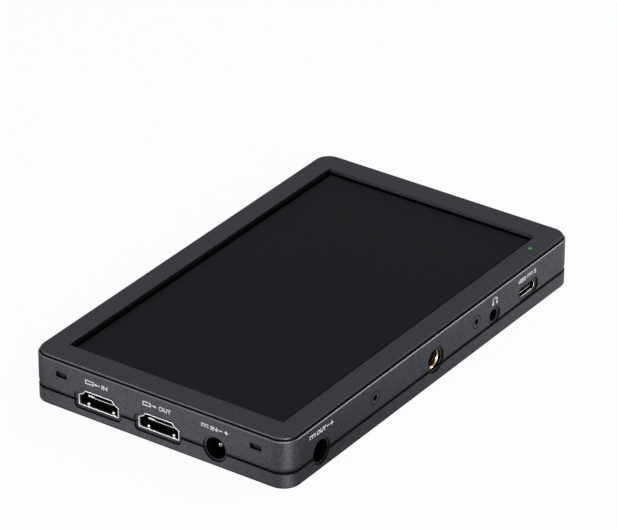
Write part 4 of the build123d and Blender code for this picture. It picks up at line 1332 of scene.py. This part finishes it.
def ink_text(work, text, x, y, width, height):
    """Lettering, made a mesh first and then fitted into a box of the drawing."""
    data = bpy.data.curves.new(text, "FONT")
    data.body, data.extrude, data.offset = text, INK_TOP / 2, LETTER_BOLD
    letters = bpy.data.objects.new(text, data)
    bpy.context.collection.objects.link(letters)
    bpy.context.view_layer.update()
    made = letters.evaluated_get(bpy.context.evaluated_depsgraph_get())
    mesh = bpy.data.meshes.new_from_object(made)
    bpy.data.objects.remove(letters)
    xs, ys = ([v.co[i] for v in mesh.vertices] for i in (0, 1))
    left, low = min(xs), min(ys)
    wide, high = width / (max(xs) - left), height / (max(ys) - low)
    for vertex in mesh.vertices:
        flat = INK_TOP if vertex.co.z > 0 else INK_LOW
        vertex.co = (x + (vertex.co.x - left) * wide, y + (vertex.co.y - low) * high, flat)
    work.from_mesh(mesh)


# %% [markdown]
# ## Signs
#
# Signs speak every language: a screen for video and an arrow into or out of it, a solid line
# over three dashes for direct current, a minus and a plus, a headphone, the outline of the
# data socket, and an open ring with a bar for power. Each is drawn into a box from its lower
# left corner, with parts of the box's size, so that all marks of a row are equally high.

# %% Signs for sockets
def screen_sign(work, x, y, width, height):
    """Outline of a screen."""
    ink_bar(work, x, y, x + LINE, y + height)
    ink_bar(work, x + width - LINE, y, x + width, y + height)
    ink_bar(work, x + LINE, y, x + width - LINE, y + LINE)
    ink_bar(work, x + LINE, y + height - LINE, x + width - LINE, y + height)


def direct_sign(work, x, y, width, height):
    """Solid line over three dashes: direct current."""
    top, low = y + 0.92 * height - LINE, y + 0.18 * height
    ink_bar(work, x, top, x + width, top + LINE)
    dash = 0.24 * width
    for index in range(3):
        left = x + index * (width - dash) / 2
        ink_bar(work, left, low, left + dash, low + LINE)


def polarity_sign(work, x, y, width, height):
    """Minus and plus."""
    arm, middle = height / 2, y + height / 2
    ink_bar(work, x, middle - LINE / 2, x + 2 * arm, middle + LINE / 2)
    plus = x + width - arm
    ink_bar(work, plus - arm, middle - LINE / 2, plus + arm, middle + LINE / 2)
    ink_bar(work, plus - LINE / 2, y, plus + LINE / 2, middle - LINE / 2)
    ink_bar(work, plus - LINE / 2, middle + LINE / 2, plus + LINE / 2, y + height)


# %% Signs with curves and points
def headphone_sign(work, x, y, width, height):
    """Head band with two ear pads."""
    radius = (width - LINE) / 2
    centre = x + width / 2
    top = y + height - LINE / 2 - radius
    ink_band(work, centre, top, radius, 0, 180)
    ink_bar(work, x, y + 0.35 * height, x + LINE, top)
    ink_bar(work, x + width - LINE, y + 0.35 * height, x + width, top)
    pad = 0.27 * width
    ink_bar(work, x, y, x + pad, y + 0.5 * height)
    ink_bar(work, x + width - pad, y, x + width, y + 0.5 * height)


def arrow_sign(work, x, y, width, height):
    """Arrow from x towards x plus the width, which is negative for one to the left."""
    tip = x + width
    neck = tip - math.copysign(0.55 * height, width)
    ink_bar(work, min(x, neck), y + (height - LINE) / 2, max(x, neck), y + (height + LINE) / 2)
    flat = [(neck, y + 0.1 * height), (tip, y + height / 2), (neck, y + 0.9 * height)]
    tube(work, [(flat, INK_LOW), (flat, INK_TOP)], loop=False)


def socket_sign(work, x, y, width, height):
    """Flat round-ended socket with its tongue."""
    half = Vector((width / 2, height / 2))
    middle = (x + half.x, y + half.y)
    outer, inner = stadium(half, 0.0), stadium(half, -0.85 * LINE)
    tube(work, [(outer, INK_LOW), (outer, INK_TOP), (inner, INK_TOP), (inner, INK_LOW)], middle)
    reach = half.x - half.y
    ink_bar(work, middle[0] - reach, middle[1] - LINE / 3, middle[0] + reach, middle[1] + LINE / 3)


def power_sign(work, x, y, radius):
    """Open ring with an upright bar: the sign for power."""
    ink_band(work, x, y, radius, 120, 300, LINE * 0.8)
    ink_bar(work, x - 0.4 * LINE, y, x + 0.4 * LINE, y + radius + 0.1)


# %% [markdown]
# ## Rows of marks
#
# A row of marks is a table: what to draw, its left end, its width, and how far it stays from
# the lower and the upper line of its row. The words are IN and OUT, and a 5 stands at the
# data socket. The headphone is taller than its row, so its last two numbers are negative.

# %% Printed marks
LEFT_ROW = (11.98, 13.45)
NEAR_ROW = (12.42, 13.90)
LEFT_MARKS = (
    (screen_sign, -26.7, 3.2, 0, 0), (arrow_sign, -21.3, -2.0, 0, 0), ("IN", -20.6, 2.2, 0, 0),
    (screen_sign, -5.4, 3.0, 0, 0), (arrow_sign, -2.1, 1.8, 0, 0), ("OUT", 0.5, 4.5, 0, 0),
    (direct_sign, 15.9, 2.8, 0, 0), ("IN", 19.4, 2.5, 0, 0),
    (polarity_sign, 22.3, 3.5, 0.05, 0.05),
)
NEAR_MARKS = (
    (direct_sign, -66.5, 3.2, 0, 0), ("OUT", -62.8, 4.8, 0, 0),
    (polarity_sign, -57.7, 3.3, 0.05, 0.05), (headphone_sign, 31.3, 3.0, -0.67, -0.40),
    (socket_sign, 46.2, 4.2, 0.1, 0.1), (direct_sign, 51.0, 3.2, 0, 0), ("5", 54.9, 1.3, 0, 0),
)


def mark_row(marks, low, high):
    """Drawing of a row of marks between two heights."""
    work = bmesh.new()
    for mark, left, width, below, above in marks:
        box = (left, low + below, width, high - low - below - above)
        if isinstance(mark, str):
            ink_text(work, mark, *box)
        else:
            mark(work, *box)
    return work


for name, marks, row, side in (("printed_marks_left", LEFT_MARKS, LEFT_ROW, LEFT_SIDE),
                               ("printed_marks_near", NEAR_MARKS, NEAR_ROW, NEAR_SIDE)):
    finished(name, mark_row(marks, *row), side, "white_film", material=WHITE_INK)

# %% [markdown]
# ## Status lamp and power button
#
# The lamp is a clear rod with a slightly domed end that glows green. The button has a power
# sign in the dish of its cap, and the sign rides on the button, so it goes in with it.

# %% Lamp and button sign
LAMP_EDGE = -0.03
LAMP_DOME = [(0.53, 0.02), (0.36, 0.06), (0.18, 0.08), (0.0, 0.085)]
BUTTON_DISH = 0.1
BUTTON_SIGN = 0.62
lamp = drawn("lamp_pipe", FRONT_SIDE)
rod = [(0.0, lamp.low.z), (lamp.half.x, lamp.low.z), (lamp.half.x, LAMP_EDGE)]
work = lathe(bmesh.new(), rod + LAMP_DOME, lamp.middle.x, lamp.middle.y, 32)
finished("domed_lamp_pipe", work, FRONT_SIDE, "lamp_green", replaces=["lamp_pipe"])

button = drawn("power_button", FAR_SIDE)
work = bmesh.new()
power_sign(work, 0.0, 0.0, BUTTON_SIGN)
face = Matrix.Translation((button.middle.x, button.middle.y, button.high.z - BUTTON_DISH))
finished("button_power_sign", work, FAR_SIDE @ face, "white_film", body="button",
         material=WHITE_INK)

# %% [markdown]
# ## Camera
#
# A long lens, 1.45 m away and 29 degrees above the table, looks over the near left corner. It
# flattens the view, so the far side of the case is nearly as large as the near one.

# %% Camera
AZIMUTH = -55.03
ELEVATION = 29.30
DISTANCE = 1.44907
TARGET = Vector((0.03741, 0.02576, 0.0))
LENS = 267.1


def add_camera():
    data = bpy.data.cameras.new("camera")
    camera = bpy.data.objects.new("camera", data)
    bpy.context.collection.objects.link(camera)
    a, e = math.radians(AZIMUTH), math.radians(ELEVATION)
    back = Vector((math.sin(a) * math.cos(e), -math.cos(a) * math.cos(e), math.sin(e)))
    camera.location = TARGET + back * DISTANCE
    camera.rotation_mode = "QUATERNION"
    camera.rotation_quaternion = (-back).to_track_quat("-Z", "Y")
    data.sensor_width = 36.0
    data.lens = LENS
    data.clip_start = 0.05
    data.clip_end = 20.0
    bpy.context.scene.camera = camera
    print("camera at", [round(v, 3) for v in camera.location])


add_camera()

# %% [markdown]
# ## Floor
#
# The monitor lies on a pale floor that is white to the camera without more light on the
# object: its material gives its own light to camera rays. Metal has to see something else,
# so rays that come by reflection meet two soft pools, dim in the middle and brighter away
# from it. The dim middles are painted shadow near the case, seen only in reflections. A little
# of the plain material stays mixed in, so the floor keeps the shadow.

# %% Floor
FLOOR_HALF, FLOOR_LOW = 4.0, -0.0002
FLOOR_GLOW = 0.95
# Each pool's dim middle is painted shadow, seen in the metal's reflections.
POOLS = (((-0.055, -0.057), (0.140, 0.040)), ((-0.070, 0.062), (0.030, 0.030)))
POOL_LOW, POOL_RISE, POOL_REACH = 0.09, 0.62, 1.1


def pool_glow(finish):
    """Strength of the floor in reflections; a pool is its middle and its half sizes."""
    far = []
    for centre, size in POOLS:
        x, y = ((finish.axis("XY"[i]) - centre[i]) * (1 / size[i]) for i in (0, 1))
        far.append((x * x + y * y).math("SQRT"))
    nearest = far[0].math("MINIMUM", far[1])
    return POOL_LOW + POOL_RISE * nearest.math("MINIMUM", POOL_REACH)


def floor_material():
    finish = Finish("pale floor")
    finish.surface(base_color=(0.8, 0.8, 0.8), roughness=0.9)
    path = finish.tree.nodes.new("ShaderNodeLightPath").outputs
    camera, through, gloss = (
        Wire(finish, path[f"Is {kind} Ray"]) for kind in ("Camera", "Transmission", "Glossy"))
    seen = camera + through
    sockets = {"Color": (1.0, 1.0, 1.0), "Strength": seen + gloss * pool_glow(finish)}
    glow = finish.node("ShaderNodeEmission", {}, sockets)
    shaders = {0: seen * FLOOR_GLOW + gloss, 1: Wire(finish, finish.shader.outputs[0]), 2: glow}
    mixed = finish.node("ShaderNodeMixShader", {}, shaders)
    finish.put(finish.tree.nodes["Material Output"].inputs["Surface"], mixed)
    return finish.material


def add_floor():
    """Large square just under the case."""
    mesh = bpy.data.meshes.new("floor")
    corners = [(x, y, FLOOR_LOW) for x, y in rectangle(FLOOR_HALF, FLOOR_HALF)]
    mesh.from_pydata(corners, [], [(0, 1, 2, 3)])
    mesh.materials.append(floor_material())
    floor = bpy.data.objects.new("floor", mesh)
    bpy.context.collection.objects.link(floor)


add_floor()
print("floor", 2 * FLOOR_HALF, "m wide")

# %% [markdown]
# ## Lights
#
# A large soft key light stands over the near left corner, and two weaker ones open the other
# sides. Two more are low and only give reflections: they draw the bright lines on the edges
# of the sockets and don't wash out the black sides. A dim grey world fills what is left.

# %% Lights
WORLD_STRENGTH = 0.35
# Each light: where it stands, how far away, its size, its power, and whether it lights matte parts.
LIGHTS = {
    "key": ((-0.65, -0.60, 0.60), 1.5, (1.0, 1.0), 12.0, True),
    "right front": ((0.71, -0.49, 0.50), 1.2, (0.35, 0.35), 2.9, True),
    "left back": ((-0.49, 0.50, 0.71), 1.2, (0.5, 0.5), 0.2, True),
    "low left": ((-0.82, 0.56, 0.10), 1.0, (0.5, 0.16), 2.4, False),
    "low corner": ((-0.57, -0.82, 0.05), 1.0, (0.10, 0.08), 10.0, False),
}


def add_light(name, direction, distance, size, power, matte):
    """Soft rectangular lamp that faces the monitor; without matte it only gives reflections."""
    data = bpy.data.lights.new(name, "AREA")
    data.shape = "RECTANGLE"
    data.size, data.size_y = size
    data.energy = power
    lamp = bpy.data.objects.new(name, data)
    bpy.context.collection.objects.link(lamp)
    lamp.visible_camera = False
    lamp.visible_diffuse = matte
    way = Vector(direction).normalized()
    lamp.location = way * distance
    lamp.rotation_mode = "QUATERNION"
    lamp.rotation_quaternion = (-way).to_track_quat("-Z", "Y")


def add_world(strength):
    world = bpy.data.worlds.new("studio")
    bpy.context.scene.world = world
    world.use_nodes = True
    background = world.node_tree.nodes["Background"]
    background.inputs["Color"].default_value = (1, 1, 1, 1)
    background.inputs["Strength"].default_value = strength


add_world(WORLD_STRENGTH)
for name, values in LIGHTS.items():
    add_light(name, *values)
bpy.context.scene.view_settings.view_transform = "Standard"
print(len(LIGHTS), "lights")
